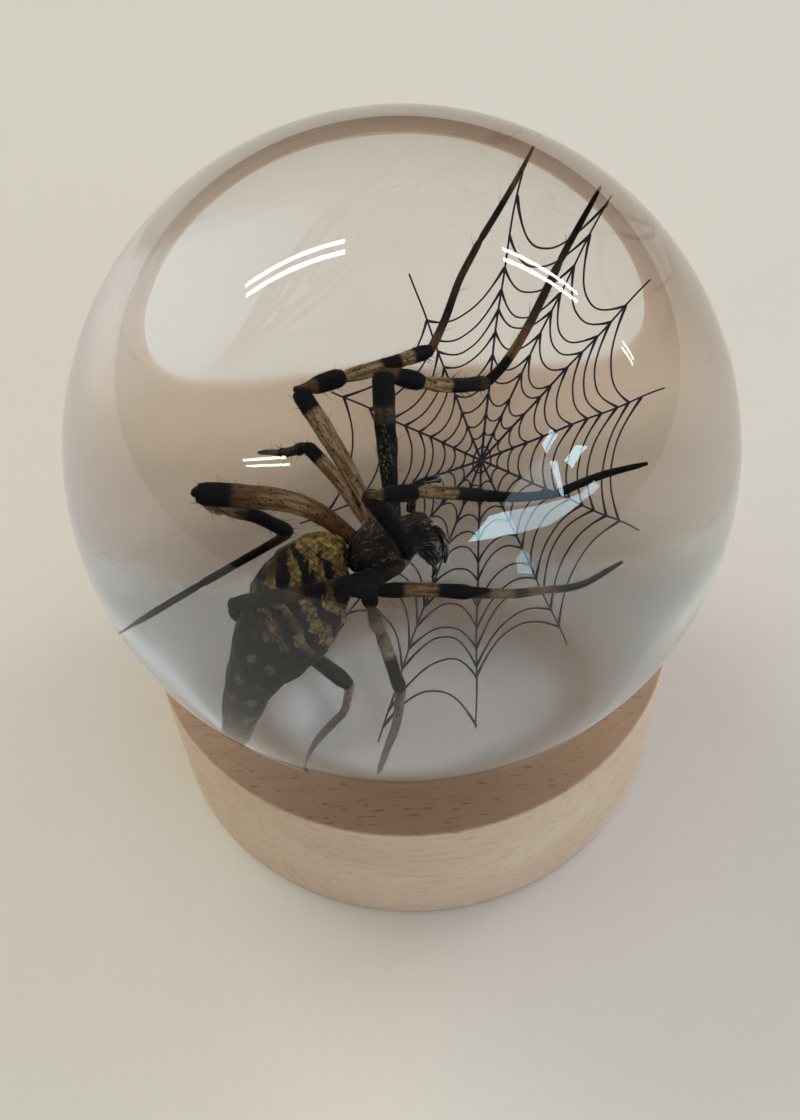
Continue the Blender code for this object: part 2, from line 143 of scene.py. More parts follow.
# Each leg: where it leaves the body, and its five parts, each with the points that it runs through after
# the last one's end, its half width, and its bands as percentages of its length with the tone at each
LEG_PARTS = ("thigh", "knee", "shin", "foot", "toe")
LEGS = {
    "left_1": ((-0.9, 0.0, -4.8), (
        (((-1.05, 3.3, -1.0), (-1.0, 6.0, 2.0)), 0.8,
         "0 black 10 speckled 60 speckled 67 umber 71 brown 75 black"),
        (((1.8, 5.9, 0.8),), 0.62, "0 brown 30 brown 40 black"),
        (((4.0, 7.0, -0.9), (6.1, 8.8, -2.8)), 0.54, "0 beige 36 beige 40 black 80 black 86 umber"),
        (((7.5, 9.9, -2.0), (9.1, 11.9, -0.6), (11.0, 14.9, 1.5)), 0.37,
         "0 black 26 black 31 orange 46 orange 56 umber"),
        (((12.0, 16.4, 2.5), (13.3, 17.5, 4.5)), 0.26, "0 umber 50 black"),
    )),
    "left_2": ((-2.6, 0.4, -5.4), (
        (((-5.0, 4.2, -2.5), (-6.9, 7.0, -0.6)), 0.69, "0 beige 80 beige 84 black"),
        (((-3.7, 8.4, -0.9),), 0.62, "0 black 10 brown 35 brown 42 black"),
        (((-0.8, 9.6, -1.3), (2.4, 11.3, -1.9)), 0.54,
         "0 beige 40 beige 44 black 63 black 67 beige 77 beige 80 black"),
        (((3.4, 12.9, -0.9), (4.5, 15.1, 0.4), (5.9, 17.1, 1.6)), 0.32,
         "0 brown 12 brown 20 umber 40 black 55 umber"),
        (((7.7, 19.3, 2.8), (8.5, 21.6, 1.9)), 0.24, "0 umber 40 black 90 brown"),
    )),
    "left_3": ((-2.8, -0.1, -6.8), (
        (((-4.5, 1.7, -4.4), (-6.6, 3.4, -2.3)), 0.5, "0 beige 78 beige 85 black"),
        (((-7.3, 4.6, -4.0),), 0.4, "0 black"),
        (((-7.8, 5.8, -5.4), (-8.3, 6.8, -6.5)), 0.34, "0 umber 50 black"),
        (((-8.9, 8.4, -8.1),), 0.28, "0 umber"),
        (((-9.6, 10.0, -9.8),), 0.22, "0 umber"),
    )),
    "left_4": ((-3.2, -1.4, -7.6), (
        (((-7.3, 0.9, -5.6), (-14.2, 2.0, -4.9)), 0.86, "0 rust 25 rust 45 beige 78 brown 83 black"),
        (((-12.3, 2.3, -7.0),), 0.62, "0 black 30 pale"),
        (((-10.3, 2.9, -8.5), (-8.0, 3.6, -11.0)), 0.52, "0 pale 30 black 90 black"),
        (((-9.0, 3.3, -11.6), (-13.7, 2.1, -13.7)), 0.36, "0 pale 12 umber 30 black"),
        (((-16.3, 1.5, -15.0), (-16.4, 3.1, -16.7)), 0.27, "0 black"),
    )),
    "right_1": ((0.1, -3.7, -6.3), (
        (((-1.0, -4.5, -2.4), (-2.5, -5.1, 1.2)), 0.74, "0 black"),
        (((1.1, -5.5, 1.7),), 0.6, "0 black 10 grey 30 grey 36 black"),
        (((3.3, -4.6, 0.5), (5.9, -3.6, -1.1)), 0.52, "0 dusk 52 dusk 57 black"),
        (((8.3, -3.8, -1.2), (10.8, -3.8, -1.1)), 0.44, "0 black"),
        (((14.0, -3.0, -0.3), (17.4, -2.3, 0.0)), 0.36, "0 black"),
    )),
    "right_2": ((-0.6, -4.1, -7.2), (
        (((-2.8, -6.9, -5.6), (-5.1, -9.3, -3.9)), 0.78, "0 umber 30 black"),
        (((-2.4, -8.6, -5.1),), 0.6, "0 black"),
        (((0.8, -8.6, -5.2), (4.6, -8.8, -5.6)), 0.56, "0 black 30 black 34 dusk 63 dusk 67 black"),
        (((7.2, -8.6, -6.1), (9.7, -8.5, -6.0)), 0.44,
         "0 black 24 black 30 grey 56 grey 63 black 75 black 82 grey"),
        (((12.3, -8.9, -5.3), (15.4, -7.8, -4.3)), 0.32, "0 grey 30 black"),
    )),
    "right_3": ((-1.6, -3.6, -8.3), (
        (((-2.9, -5.7, -7.4), (-2.8, -7.7, -7.3)), 0.62, "0 umber 40 black"),
        (((-2.2, -8.2, -9.6),), 0.5, "0 black 45 umber 70 smoke"),
        (((-1.6, -9.1, -11.6), (-1.0, -10.0, -13.6)), 0.5, "0 umber 22 smoke 40 ash 50 black 97 black"),
        (((-1.4, -10.6, -15.8), (-2.1, -11.0, -17.5)), 0.4, "0 dusk 30 smoke"),
        (((-2.8, -11.5, -19.2),), 0.28, "0 smoke"),
    )),
    "right_4": ((-2.7, -3.9, -8.4), (
        (((-7.7, -7.6, -5.8), (-12.2, -4.6, -9.4)), 0.58,
         "0 black 16 black 21 rust 36 rust 40 black 50 black 54 umber 60 black"),
        (((-11.2, -2.6, -12.4),), 0.74, "0 black"),
        (((-8.0, -2.6, -15.4), (-4.3, -3.0, -18.8)), 0.5, "0 black"),
        (((-4.6, -3.6, -20.0), (-5.2, -3.0, -21.2)), 0.32, "0 pale 30 ash 60 smoke"),
        (((-6.4, -1.7, -23.2),), 0.27, "0 smoke"),
    )),
}
LEG_SIDES = 20
LEG_RING_SPACING = 0.15
SEGMENT_OVERLAP = 0.22
HAIRY = {"hip": 1.2, "thigh": 0.8, "knee": 1.5, "shin": 1.3, "foot": 0.9, "toe": 0.7}

# The front body's half width along the head's way, and its height as a share of that
SHIELD = (
    (-3.1, 0.4), (-2.8, 1.0), (-2.2, 1.55), (-1.5, 1.95), (-0.8, 2.15), (0.0, 2.1), (0.6, 1.9),
    (1.3, 1.5), (1.9, 1.3), (2.6, 1.25), (3.1, 1.1), (3.4, 0.7),
)
SHIELD_FLATNESS = 0.6
SHIELD_SIDES, SHIELD_RING_SPACING = 72, 0.1
SHIELD_TONE = (0.12, 0.3, 0.0)
# The bearings of the shield's grooves from its pit, and where the pit lies
GROOVE_ANGLES = tuple(math.radians(a) for a in (32, 62, 92, 122, 150))
PIT_PLACE = -0.9

# The points of the abdomen's middle line, each with the half width there
ABDOMEN = (
    (-4.6, -1.5, -7.0, 0.7), (-5.3, -2.0, -7.3, 1.7), (-6.1, -2.7, -7.8, 2.6), (-7.3, -4.1, -8.9, 3.3),
    (-8.3, -5.1, -10.4, 3.55), (-9.7, -6.0, -12.3, 2.85), (-10.9, -6.3, -14.7, 1.8),
    (-11.4, -6.1, -17.2, 1.25), (-11.4, -5.6, -19.2, 0.85),
)
ABDOMEN_FLATNESS = 0.9
ABDOMEN_SIDES, ABDOMEN_RING_SPACING = 96, 0.11
# The spacing of the abdomen's stripes, spots and folds, and how much its stripes slant
STRIPE_SPACING, STRIPE_SLANT = 1.6, 0.6
SPOT_SPACING = 1.5
FOLD_SPACING = 0.62

# Feelers, jaws, fangs and spinnerets: the seed of their lumps, how hairy they are, how far apart their
# rings lie, how deep their grooves are, and for each the points along it with its half width there
STALKS = {
    "feelers": (20.0, 2.6, 0.1, 0.03, (
        ((0.6, -1.6, -6.4, 0.3), (1.5, -1.9, -5.7, 0.28), (2.4, -2.3, -5.9, 0.25),
         (2.7, -2.9, -6.9, 0.27), (2.6, -3.3, -7.9, 0.15)),
        ((0.4, -0.4, -5.6, 0.34), (0.7, 0.5, -4.6, 0.32), (1.4, 1.1, -4.2, 0.27), (2.6, 1.4, -4.4, 0.24)),
    )),
    "jaws": (30.0, 1.2, 0.1, 0.03, (
        ((0.7, -1.3, -6.5, 0.5), (1.4, -1.1, -7.2, 0.7), (1.9, -0.8, -8.2, 0.6), (2.0, -0.7, -9.0, 0.42)),
        ((0.6, -2.2, -6.8, 0.5), (1.3, -2.1, -7.6, 0.7), (1.7, -1.8, -8.6, 0.6), (1.7, -1.7, -9.3, 0.42)),
    )),
    "fangs": (40.0, 0.0, 0.06, 0.0, (
        ((2.0, -0.8, -8.9, 0.2), (2.2, -1.3, -9.5, 0.14), (1.9, -1.8, -9.8, 0.05)),
        ((1.7, -1.7, -9.2, 0.2), (1.9, -2.2, -9.8, 0.14), (1.6, -2.6, -10.0, 0.05)),
    )),
    "spinnerets": (50.0, 0.5, 0.1, 0.03, (
        ((-11.4, -5.4, -19.0, 0.5), (-11.3, -4.9, -20.0, 0.28)),
        ((-11.7, -5.7, -18.9, 0.4), (-11.9, -5.3, -19.9, 0.22)),
        ((-11.1, -5.7, -19.0, 0.4), (-10.9, -5.4, -19.9, 0.22)),
    )),
}
STALK_SIDES = 16
# Each pair of eyes: how far they lie along the head's way, to each side and up from the shield's middle,
# and their radius
EYES = ((3.12, 0.28, 0.62, 0.15), (3.28, 0.22, 0.28, 0.13), (2.72, 0.98, 0.38, 0.11), (2.86, 0.9, 0.2, 0.1))

# Each kind of hair: its name, what it grows on, how many to a square metre, its share of the length that
# is set, its half width as a share of its length, how it leans to the tip, its paint and its seed
HAIRS = (
    ("leg_bristles", "spider_legs", 2.6e6, 1.0, 0.026, 1.0, "bristles", 3),
    ("front_down", "spider_front", 8.0e6, 1.0, 0.016, 1.3, "silvery_down", 5),
    ("hip_down", "spider_hips", 9.0e6, 0.8, 0.018, 1.4, "silvery_down", 11),
)
HAIR_STRAY = 0.35

# The web is a flat net: where its hub lies, and which way its face looks
WEB_HUB = Vector((5.4, 8.8, -10.5))
WEB_AZIMUTH = math.radians(203.0)
WEB_ELEVATION = math.radians(43.0)
# Each spoke: direction in degrees in the web's plane, length, and how far out each arc is tied to it
SPOKES = (
    (0.5, 17.3, (1.0, 1.9, 3.0, 4.3, 5.8, 7.0, 8.5, 9.9, 11.2, 12.7, 13.8, 15.0)),
    (27.5, 17.3, (1.0, 2.0, 3.3, 4.6, 6.3, 7.4, 9.1, 10.6, 12.1, 13.4, 14.9)),
    (52.0, 17.3, (1.1, 2.1, 3.3, 4.5, 6.4, 7.7, 9.2, 10.7, 11.9, 13.6, 15.4, 16.9)),
    (79.0, 16.9, (1.1, 2.0, 3.2, 4.6, 5.9, 7.2, 8.7, 10.1, 11.3, 12.6, 14.3, 16.1)),
    (112.0, 15.4, (1.0, 1.9, 3.0, 4.2, 5.7, 6.9, 8.1, 9.4, 10.4, 11.9)),
    (146.5, 15.8, (0.9, 1.8, 3.0, 4.2, 5.5, 6.7, 8.2, 9.7, 11.9, 14.6)),
    (178.0, 16.6, (0.9, 1.9, 3.1, 4.3, 5.4, 6.5, 7.6, 9.3, 11.6, 14.3)),
    (208.0, 17.0, (1.0, 2.0, 3.1, 4.4, 5.6, 6.9, 8.3, 9.8, 11.3, 12.9, 14.6)),
    (235.5, 18.6, (1.0, 2.0, 3.2, 4.5, 6.1, 7.3, 9.0, 10.6, 11.9, 13.4, 14.7, 17.1, 17.9)),
    (263.7, 18.4, (1.0, 2.0, 3.2, 4.4, 5.6, 7.2, 8.5, 10.3, 11.8, 13.2, 14.4, 15.1, 18.2)),
    (294.5, 17.3, (1.0, 2.0, 3.2, 4.4, 5.7, 7.0, 8.2, 9.7, 11.0, 12.4, 13.9, 15.5)),
    (327.0, 17.6, (1.1, 1.8, 3.0, 4.3, 5.6, 7.0, 8.2, 9.6, 11.0, 12.3, 13.7, 15.2)),
)
SPOKE_POINTS, ARC_POINTS, THREAD_SIDES = 40, 17, 8

# How far a closed shell's ends bulge, as a share of their half width, and how finely curves are followed
END_DOME = 0.35
CURVE_STEPS = 24


class Value:
    """A node's output that Python's operators work on, each adding a Math node."""

    def __init__(self, tree, socket):
        self.tree = tree
        self.socket = socket

    def __add__(self, other):
        return self.tree.math("ADD", self, other)

    def __radd__(self, other):
        return self.tree.math("ADD", other, self)

    def __sub__(self, other):
        return self.tree.math("SUBTRACT", self, other)

    def __rsub__(self, other):
        return self.tree.math("SUBTRACT", other, self)

    def __mul__(self, other):
        return self.tree.math("MULTIPLY", self, other)

    def __rmul__(self, other):
        return self.tree.math("MULTIPLY", other, self)


class Tree:
    """Adds nodes to a shader tree or a geometry tree."""

    def __init__(self, tree):
        self.tree = tree

    def feed(self, socket, value):
        """Links a value to a socket, or sets the socket to a constant."""
        if isinstance(value, Value):
            self.tree.links.new(value.socket, socket)
        else:
            socket.default_value = value

    def node(self, kind, settings=None, inputs=None, output=0):
        """A node of one type: its settings are set first, then its sockets, by name or by number."""
        made = self.tree.nodes.new(kind)
        for key, value in (settings or {}).items():
            setattr(made, key, value)
        for key, value in (inputs or {}).items():
            self.feed(made.inputs[key], value)
        return None if output is None else Value(self, made.outputs[output])

    def math(self, operation, first, second=0.0):
        return self.node("ShaderNodeMath", {"operation": operation}, {0: first, 1: second})

    def vectors(self, operation, first, second, output=0):
        """Vector maths on two vectors, or on a vector and the number that scales it."""
        key = "Scale" if operation == "SCALE" else 1
        return self.node("ShaderNodeVectorMath", {"operation": operation}, {0: first, key: second}, output)

    def axis(self, vector, letter):
        """One coordinate of a vector."""
        return self.node("ShaderNodeSeparateXYZ", None, {"Vector": vector}, letter)

    def size_of(self, value):
        """A number without its sign."""
        return self.math("ABSOLUTE", value)

    def clamp(self, value):
        return self.node("ShaderNodeClamp", None, {"Value": value})

    def step(self, value, low, high):
        """A smooth step from 0 at low to 1 at high."""
        return self.node(
            "ShaderNodeMapRange", {"interpolation_type": "SMOOTHSTEP"},
            {"Value": value, "From Min": low, "From Max": high},
        )


class Paint(Tree):
    """One procedural material."""

    def __init__(self, name, **fixed):
        self.material = bpy.data.materials.new(name)
        self.material.use_nodes = True
        super().__init__(self.material.node_tree)
        self.shader = self.tree.nodes["Principled BSDF"]
        for key, value in fixed.items():
            self.set(key.replace("_", " ").title().replace("Ior", "IOR"), value)

    def set(self, key, value):
        self.feed(self.shader.inputs[key], value)

    def own(self):
        """Object coordinates."""
        return self.node("ShaderNodeTexCoord", output="Object")

    def stretch(self, vector, scale):
        return self.node("ShaderNodeMapping", None, {"Vector": vector, "Scale": scale})

    def place(self, *scale):
        """Object coordinates, scaled along each axis."""
        return self.stretch(self.own(), scale or (1.0, 1.0, 1.0))

    def attribute(self, name, output="Fac"):
        return self.node("ShaderNodeAttribute", {"attribute_name": name}, output=output)

    def noise(self, where, scale, detail=3.0, roughness=0.55):
        return self.node(
            "ShaderNodeTexNoise", None,
            {"Vector": where, "Scale": scale, "Detail": detail, "Roughness": roughness, "Distortion": 0.0},
        )

    def mix(self, factor, first, second, blend="MIX"):
        """A colour between two others."""
        first, second = (one if isinstance(one, Value) else (*one, 1.0) for one in (first, second))
        kind = {"data_type": "RGBA", "blend_type": blend}
        return self.node("ShaderNodeMix", kind, {0: factor, 6: first, 7: second}, output=2)

    def bump(self, height, distance, strength):
        inputs = {"Height": height, "Distance": distance, "Strength": strength}
        return self.node("ShaderNodeBump", None, inputs)

    def finish(self, colour, roughness=None, normal=None):
        for key, value in (("Base Color", colour), ("Roughness", roughness), ("Normal", normal)):
            if value is not None:
                self.set(key, value)
        return self.material


class Growth(Tree):
    """One Geometry Nodes tree, with named inputs, that is used up on a mesh."""

    def __init__(self, name):
        super().__init__(bpy.data.node_groups.new(name, "GeometryNodeTree"))
        for way in ("INPUT", "OUTPUT"):
            self.tree.interface.new_socket("Geometry", in_out=way, socket_type="NodeSocketGeometry")
        self.sockets = {}
        self.entry = self.node("NodeGroupInput").socket.node

    def given(self, name, kind="Float"):
        """A named input of the tree."""
        made = self.tree.interface.new_socket(name, in_out="INPUT", socket_type="NodeSocket" + kind)
        self.sockets[name] = made.identifier
        return Value(self, next(s for s in self.entry.outputs if s.identifier == made.identifier))

    def source(self):
        return Value(self, self.entry.outputs[0])

    def attribute(self, name, kind="FLOAT"):
        return self.node("GeometryNodeInputNamedAttribute", {"data_type": kind}, {"Name": name})

    def ring(self, corners, radius):
        """A circle that a thread or a hair has as its cross-section."""
        inputs = {"Resolution": corners, "Radius": radius}
        return self.node("GeometryNodeCurvePrimitiveCircle", None, inputs)

    def round_along(self, curve, ring, scale):
        """A closed tube along a curve."""
        return self.node(
            "GeometryNodeCurveToMesh", None,
            {"Curve": curve, "Profile Curve": ring, "Scale": scale, "Fill Caps": True},
        )

    def close(self, geometry, material):
        """Ends the tree in real faces of one material."""
        real = self.node("GeometryNodeRealizeInstances", None, {"Geometry": geometry})
        smooth = self.node("GeometryNodeSetShadeSmooth", None, {"Geometry": real})
        done = self.node("GeometryNodeSetMaterial", None, {"Geometry": smooth, "Material": material})
        self.node("NodeGroupOutput", None, {0: done}, output=None)

    def grow(self, name, carrier, **inputs):
        """Runs the tree on a carrier mesh and returns the result as a plain object."""
        host = add_object(name + "_carrier", carrier)
        modifier = host.modifiers.new(name, "NODES")
        modifier.node_group = self.tree
        for key, value in inputs.items():
            modifier[self.sockets[key]] = value
        host.update_tag()
        bpy.context.view_layer.update()
        evaluated = host.evaluated_get(bpy.context.evaluated_depsgraph_get())
        mesh = bpy.data.meshes.new_from_object(evaluated)
        host.modifiers.clear()
        bpy.data.objects.remove(host)
        mesh.name = name
        return add_object(name, mesh)


class Skin:
    """Gathers closed shells in one mesh, with what their colours and hairs are worked out from.

    Every point keeps its place on a straightened copy of its part in millimetres, the way to the part's
    tip, how dark, how brown and how flecked the skin is there, and how thickly hairs grow.
    """

    MARKS = ("dark", "brown", "fleck", "hairy")

    def __init__(self):
        self.points, self.grain, self.tipward, self.marks, self.faces = [], [], [], [], []
        self.count = 0

    def shell(self, rings, grain, tipward, marks):
        """Adds a closed shell of rings of points, with one point over each end ring."""
        layers, sides = rings.shape[:2]
        first = self.count

        def pole(ring, way):
            middle = ring.mean(axis=0)
            return middle + way * np.linalg.norm(ring - middle, axis=1).mean() * END_DOME

        poles = (pole(rings[0], -tipward[0]), pole(rings[-1], tipward[-1]))
        self.points.append(np.vstack((rings.reshape(-1, 3), *poles)))
        self.grain.append(np.vstack((grain.reshape(-1, 3), grain[0].mean(axis=0), grain[-1].mean(axis=0))))
        self.tipward.append(np.vstack((np.repeat(tipward, sides, axis=0), tipward[0], tipward[-1])))
        self.marks.append(np.vstack((np.repeat(marks, sides, axis=0), marks[0], marks[-1])))
        for layer in range(layers - 1):
            for side in range(sides):
                here = first + layer * sides + side
                beside = first + layer * sides + (side + 1) % sides
                self.faces.append((here, beside, beside + sides, here + sides))
        start_pole = first + layers * sides
        last_ring = first + (layers - 1) * sides
        for side in range(sides):
            beside = (side + 1) % sides
            self.faces.append((start_pole, first + beside, first + side))
            self.faces.append((start_pole + 1, last_ring + side, last_ring + beside))
        self.count += layers * sides + 2

    def tube(self, rows, reach, tones, sides, across=None, flatness=1.0, relief=None, hairy=1.0):
        """Adds a tube round rows of (x, y, z, half width), at their distances along it."""
        centres, widths = rows[:, :3], rows[:, 3]
        ways = np.gradient(centres, axis=0)
        ways /= np.linalg.norm(ways, axis=1)[:, None]
        side_way = np.array(across if across is not None else Vector(ways[0]).orthogonal())
        angles = np.arange(sides) * math.tau / sides
        rings, grain = [], []
        for centre, width, way, along in zip(centres, widths, ways, reach):
            side_way = side_way - way * side_way.dot(way)
            side_way /= np.linalg.norm(side_way)
            other_way = np.cross(way, side_way)
            radius = np.full(sides, width)
            if relief:
                radius = radius * np.array([relief(angle, along) for angle in angles])
            rings.append(
                centre + np.outer(radius * np.cos(angles) * flatness, side_way)
                + np.outer(radius * np.sin(angles), other_way)
            )
            round_it = (width * np.cos(angles), width * np.sin(angles))
            grain.append(np.column_stack((*round_it, np.full(sides, along))))
        marks = np.column_stack((tones, np.full(len(rows), hairy)))
        self.shell(np.array(rings), np.array(grain), ways, marks)

    def mesh(self, name):
        """The gathered shells as one mesh, in metres and in place."""
        made = bpy.data.meshes.new(name)
        points = np.vstack(self.points) * MM + np.array(BALL_CENTRE)
        made.from_pydata(points.tolist(), [], self.faces)
        for key, rows in (("grain", self.grain), ("tipward", self.tipward)):
            layer = made.attributes.new(key, "FLOAT_VECTOR", "POINT")
            layer.data.foreach_set("vector", np.vstack(rows).astype(np.float32).ravel())
        columns = np.vstack(self.marks).astype(np.float32)
        for key, column in zip(self.MARKS, columns.T):
            layer = made.attributes.new(key, "FLOAT", "POINT")
            layer.data.foreach_set("value", np.ascontiguousarray(column))
        made.shade_smooth()
        made.update()
        return made


def smooth_run(rows, spacing):
    """Rows at an even spacing on a smooth curve through the given rows, which start with a place.

    Returns how far along each row is, and the rows.
    """
    rows = np.array(rows, float)
    ends = np.vstack((2 * rows[0] - rows[1], rows, 2 * rows[-1] - rows[-2]))
    t = np.linspace(0, 1, CURVE_STEPS, endpoint=False)[:, None]
    stretches = []
    for a, b, c, d in zip(ends, ends[1:], ends[2:], ends[3:]):
        bend = (2 * a - 5 * b + 4 * c - d) * t**2 + (3 * b - a - 3 * c + d) * t**3
        stretches.append(0.5 * (2 * b + (c - a) * t + bend))
    fine = np.vstack((*stretches, rows[-1:]))
    reach = np.concatenate(([0.0], np.cumsum(np.linalg.norm(np.diff(fine[:, :3], axis=0), axis=1))))
    even = np.linspace(0.0, reach[-1], max(2, round(reach[-1] / spacing)) + 1)
    return even, np.column_stack([np.interp(even, reach, column) for column in fine.T])


def add_object(name, mesh, material=None):
    """A new object at the origin that shows the mesh."""
    made = bpy.data.objects.new(name, mesh)
    bpy.context.scene.collection.objects.link(made)
    if material:
        mesh.materials.append(material)
    return made


def as_mesh(name, made):
    """A smooth mesh of what was shaped, which is then let go."""
    mesh = bpy.data.meshes.new(name)
    made.to_mesh(mesh)
    made.free()
    mesh.shade_smooth()
    return mesh


def keep(piece, slot, *nodes):
    """Fixes a finished piece to the frame's body and hides the nodes that it stands for; the name of its
    finish is not used.
    """
    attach(piece, BODY)
    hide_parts(*nodes)


def ripple(point, scale, seed=0.0):
    """Smooth noise from -1 to 1."""
    return noise.noise(Vector(point) * scale + Vector((seed, seed * 1.7, -seed)))


def turned(profile):
    """A closed turned shape from (radius, height) pairs that start and end on the axis."""
    made = bmesh.new()
    rings = []
    for radius, height in profile:
        count = TURNED_SIDES if radius > 0 else 1
        turns = [math.tau * i / TURNED_SIDES for i in range(count)]
        rings.append([made.verts.new((radius * math.cos(a), radius * math.sin(a), height)) for a in turns])
    for lower, upper in zip(rings, rings[1:]):
        for i in range(TURNED_SIDES):
            j = (i + 1) % TURNED_SIDES
            corners = [ring[k % len(ring)] for ring, k in ((lower, i), (lower, j), (upper, j), (upper, i))]
            made.faces.new(list(dict.fromkeys(corners)))
    bmesh.ops.recalc_face_normals(made, faces=made.faces)
    return made


def beech_paint(settings):
    """Plain oiled beech: pinkish, with fine lines along the grain, short dark flecks and painted shade on the
    top round the ball.
    """
    paint = Paint("beech", Roughness=0.55, Specular_IOR_Level=0.3)
    broad = paint.noise(paint.place(12.0, 70.0, 70.0), 1.0)
    lines = paint.noise(paint.place(90.0, 900.0, 900.0), 1.6, 4.0, 0.6)
    flecks = paint.step(paint.noise(paint.place(520.0, 4200.0, 2600.0), 1.0, 1.0, 0.4), 0.66, 0.71)
    pores = paint.step(paint.noise(paint.place(1500.0, 9000.0, 9000.0), 1.0, 1.0), 0.62, 0.72)
    across, away, height = (paint.axis(paint.own(), letter) for letter in "XYZ")
    # Only the top has painted shade: the ball's painted shadow in front, where the flecks are strongest, and
    # a painted shadow patch at its back
    top = paint.step(height, BASE_HEIGHT - 0.3 * MM, BASE_HEIGHT)
    painted_shade = top * paint.step(away * -1.0 + (broad - 0.5) * 20.0 * MM, -8.0 * MM, 16.0 * MM)
    # The painted shadow patch behind the ball fades out to both sides of its middle
    beside = paint.step(paint.size_of(across - 2.0 * MM), 1.0 * MM, 10.0 * MM)
    painted_back_shade = paint.step(away + (broad - 0.5) * 8.0 * MM, 20.0 * MM, 29.0 * MM) * (1.0 - beside)
    flecks = flecks * (0.22 + 0.78 * painted_shade)
    wood = paint.mix(paint.step(broad, 0.3, 0.7), settings.pale, settings.deep)
    # Painted shade: the ball's shadow over the front of the top, and a shadow patch behind the ball
    for share in (painted_shade, 0.6 * top * painted_back_shade):
        wood = paint.mix(share, wood, settings.painted_shade, "MULTIPLY")
    for share in (0.17 * paint.step(lines, 0.45, 0.7), 0.08 * pores, 0.85 * flecks):
        wood = paint.mix(share, wood, settings.fleck)
    relief = lines * 0.5 - flecks * 0.7 - pores * 0.3
    return paint.finish(wood, 0.5 + 0.15 * lines, paint.bump(relief, 0.08 * MM, 0.7))


def resin_paint(settings):
    """Clear cast resin, polished all over except on the ground underside."""
    paint = Paint("clear_resin", IOR=settings.bending, Transmission_Weight=1.0)
    paint.set("Base Color", (1.0, 1.0, 1.0, 1.0))
    height = paint.axis(paint.own(), "Z")
    ring = paint.step(height, FLAT_HEIGHT + 0.2 * MM, FLAT_HEIGHT + 2.0 * MM)
    ground = 1.0 - paint.step(height, FLAT_HEIGHT + 2.5 * MM, FLAT_HEIGHT + 8.0 * MM)
    paint.set("Roughness", ground * (settings.ground_roughness + ring * 0.26))
    depth = paint.node(
        "ShaderNodeVolumeAbsorption", None,
        {"Color": (*settings.tint, 1.0), "Density": settings.absorption}, output="Volume",
    )
    paint.feed(paint.tree.nodes["Material Output"].inputs["Volume"], depth)
    return paint.material


def net_paint(settings):
    """Dark thread with a faint violet cast."""
    paint = Paint("dark_net", Specular_IOR_Level=0.05)
    rough = paint.noise(paint.place(), 4000.0)
    colour = paint.mix(rough, settings.colour, settings.light)
    return paint.finish(colour, 0.45 + 0.25 * rough, paint.bump(rough, 0.03 * MM, 0.6))


def leg_paint(settings):
    """Dried leg skin: pale with dark spots and streaks, or black with pale flecks, as the marks say."""
    paint = Paint("dried_legs", Specular_IOR_Level=0.06)
    grain = paint.attribute("grain", "Vector")

    def along(across_scale, length_scale, detail, rough=0.5):
        where = paint.stretch(grain, (across_scale, across_scale, length_scale))
        return paint.noise(where, 1.0, detail, rough)

    streaks = along(4.2, 0.4, 3.0)
    mottle = along(1.3, 0.9, 4.0, 0.6)
    fine = along(9.0, 7.0, 2.0)
    spots = paint.step(along(9.5, 3.8, 0.0), 0.66, 0.72)
    flecks = paint.step(along(13.0, 4.0, 1.0), 0.58, 0.68) * paint.step(along(1.1, 0.35, 1.0), 0.42, 0.56)
    dark, brown, fleck = (paint.attribute(mark) for mark in ("dark", "brown", "fleck"))
    pale = paint.mix(paint.clamp(brown + (mottle - 0.42) * 1.3), settings.pale, settings.rust)
    pale = paint.mix(0.72 * paint.step(streaks, 0.47, 0.6), pale, settings.rust_dark)
    lit = 0.62 * fleck * flecks
    shade = dark * (1.0 - lit) + (1.0 - dark) * (0.9 * spots + (mottle - 0.45) * 0.8 + (streaks - 0.5) * 0.5)
    colour = paint.mix(paint.clamp(shade), paint.mix(fleck, pale, settings.silver), settings.black)
    relief = streaks * 0.6 + fine * 0.4 + mottle * 0.5
    return paint.finish(colour, 0.42 + 0.3 * mottle, paint.bump(relief, 0.07 * MM, 0.9))


def shield_paint(settings):
    """Grey-brown front body skin with dark grooves."""
    paint = Paint("dried_shield", Specular_IOR_Level=0.08)
    mottle = paint.noise(paint.place(), 700.0, 5.0, 0.65)
    fine = paint.noise(paint.place(), 5200.0)
    colour = paint.mix(paint.step(mottle, 0.3, 0.72), settings.shield, settings.shield_light)
    colour = paint.mix(paint.clamp(paint.attribute("dark") + (fine - 0.5) * 0.4), colour, settings.black)
    return paint.finish(colour, 0.5 + 0.2 * mottle, paint.bump(fine * 0.4 + mottle, 0.1 * MM, 0.8))


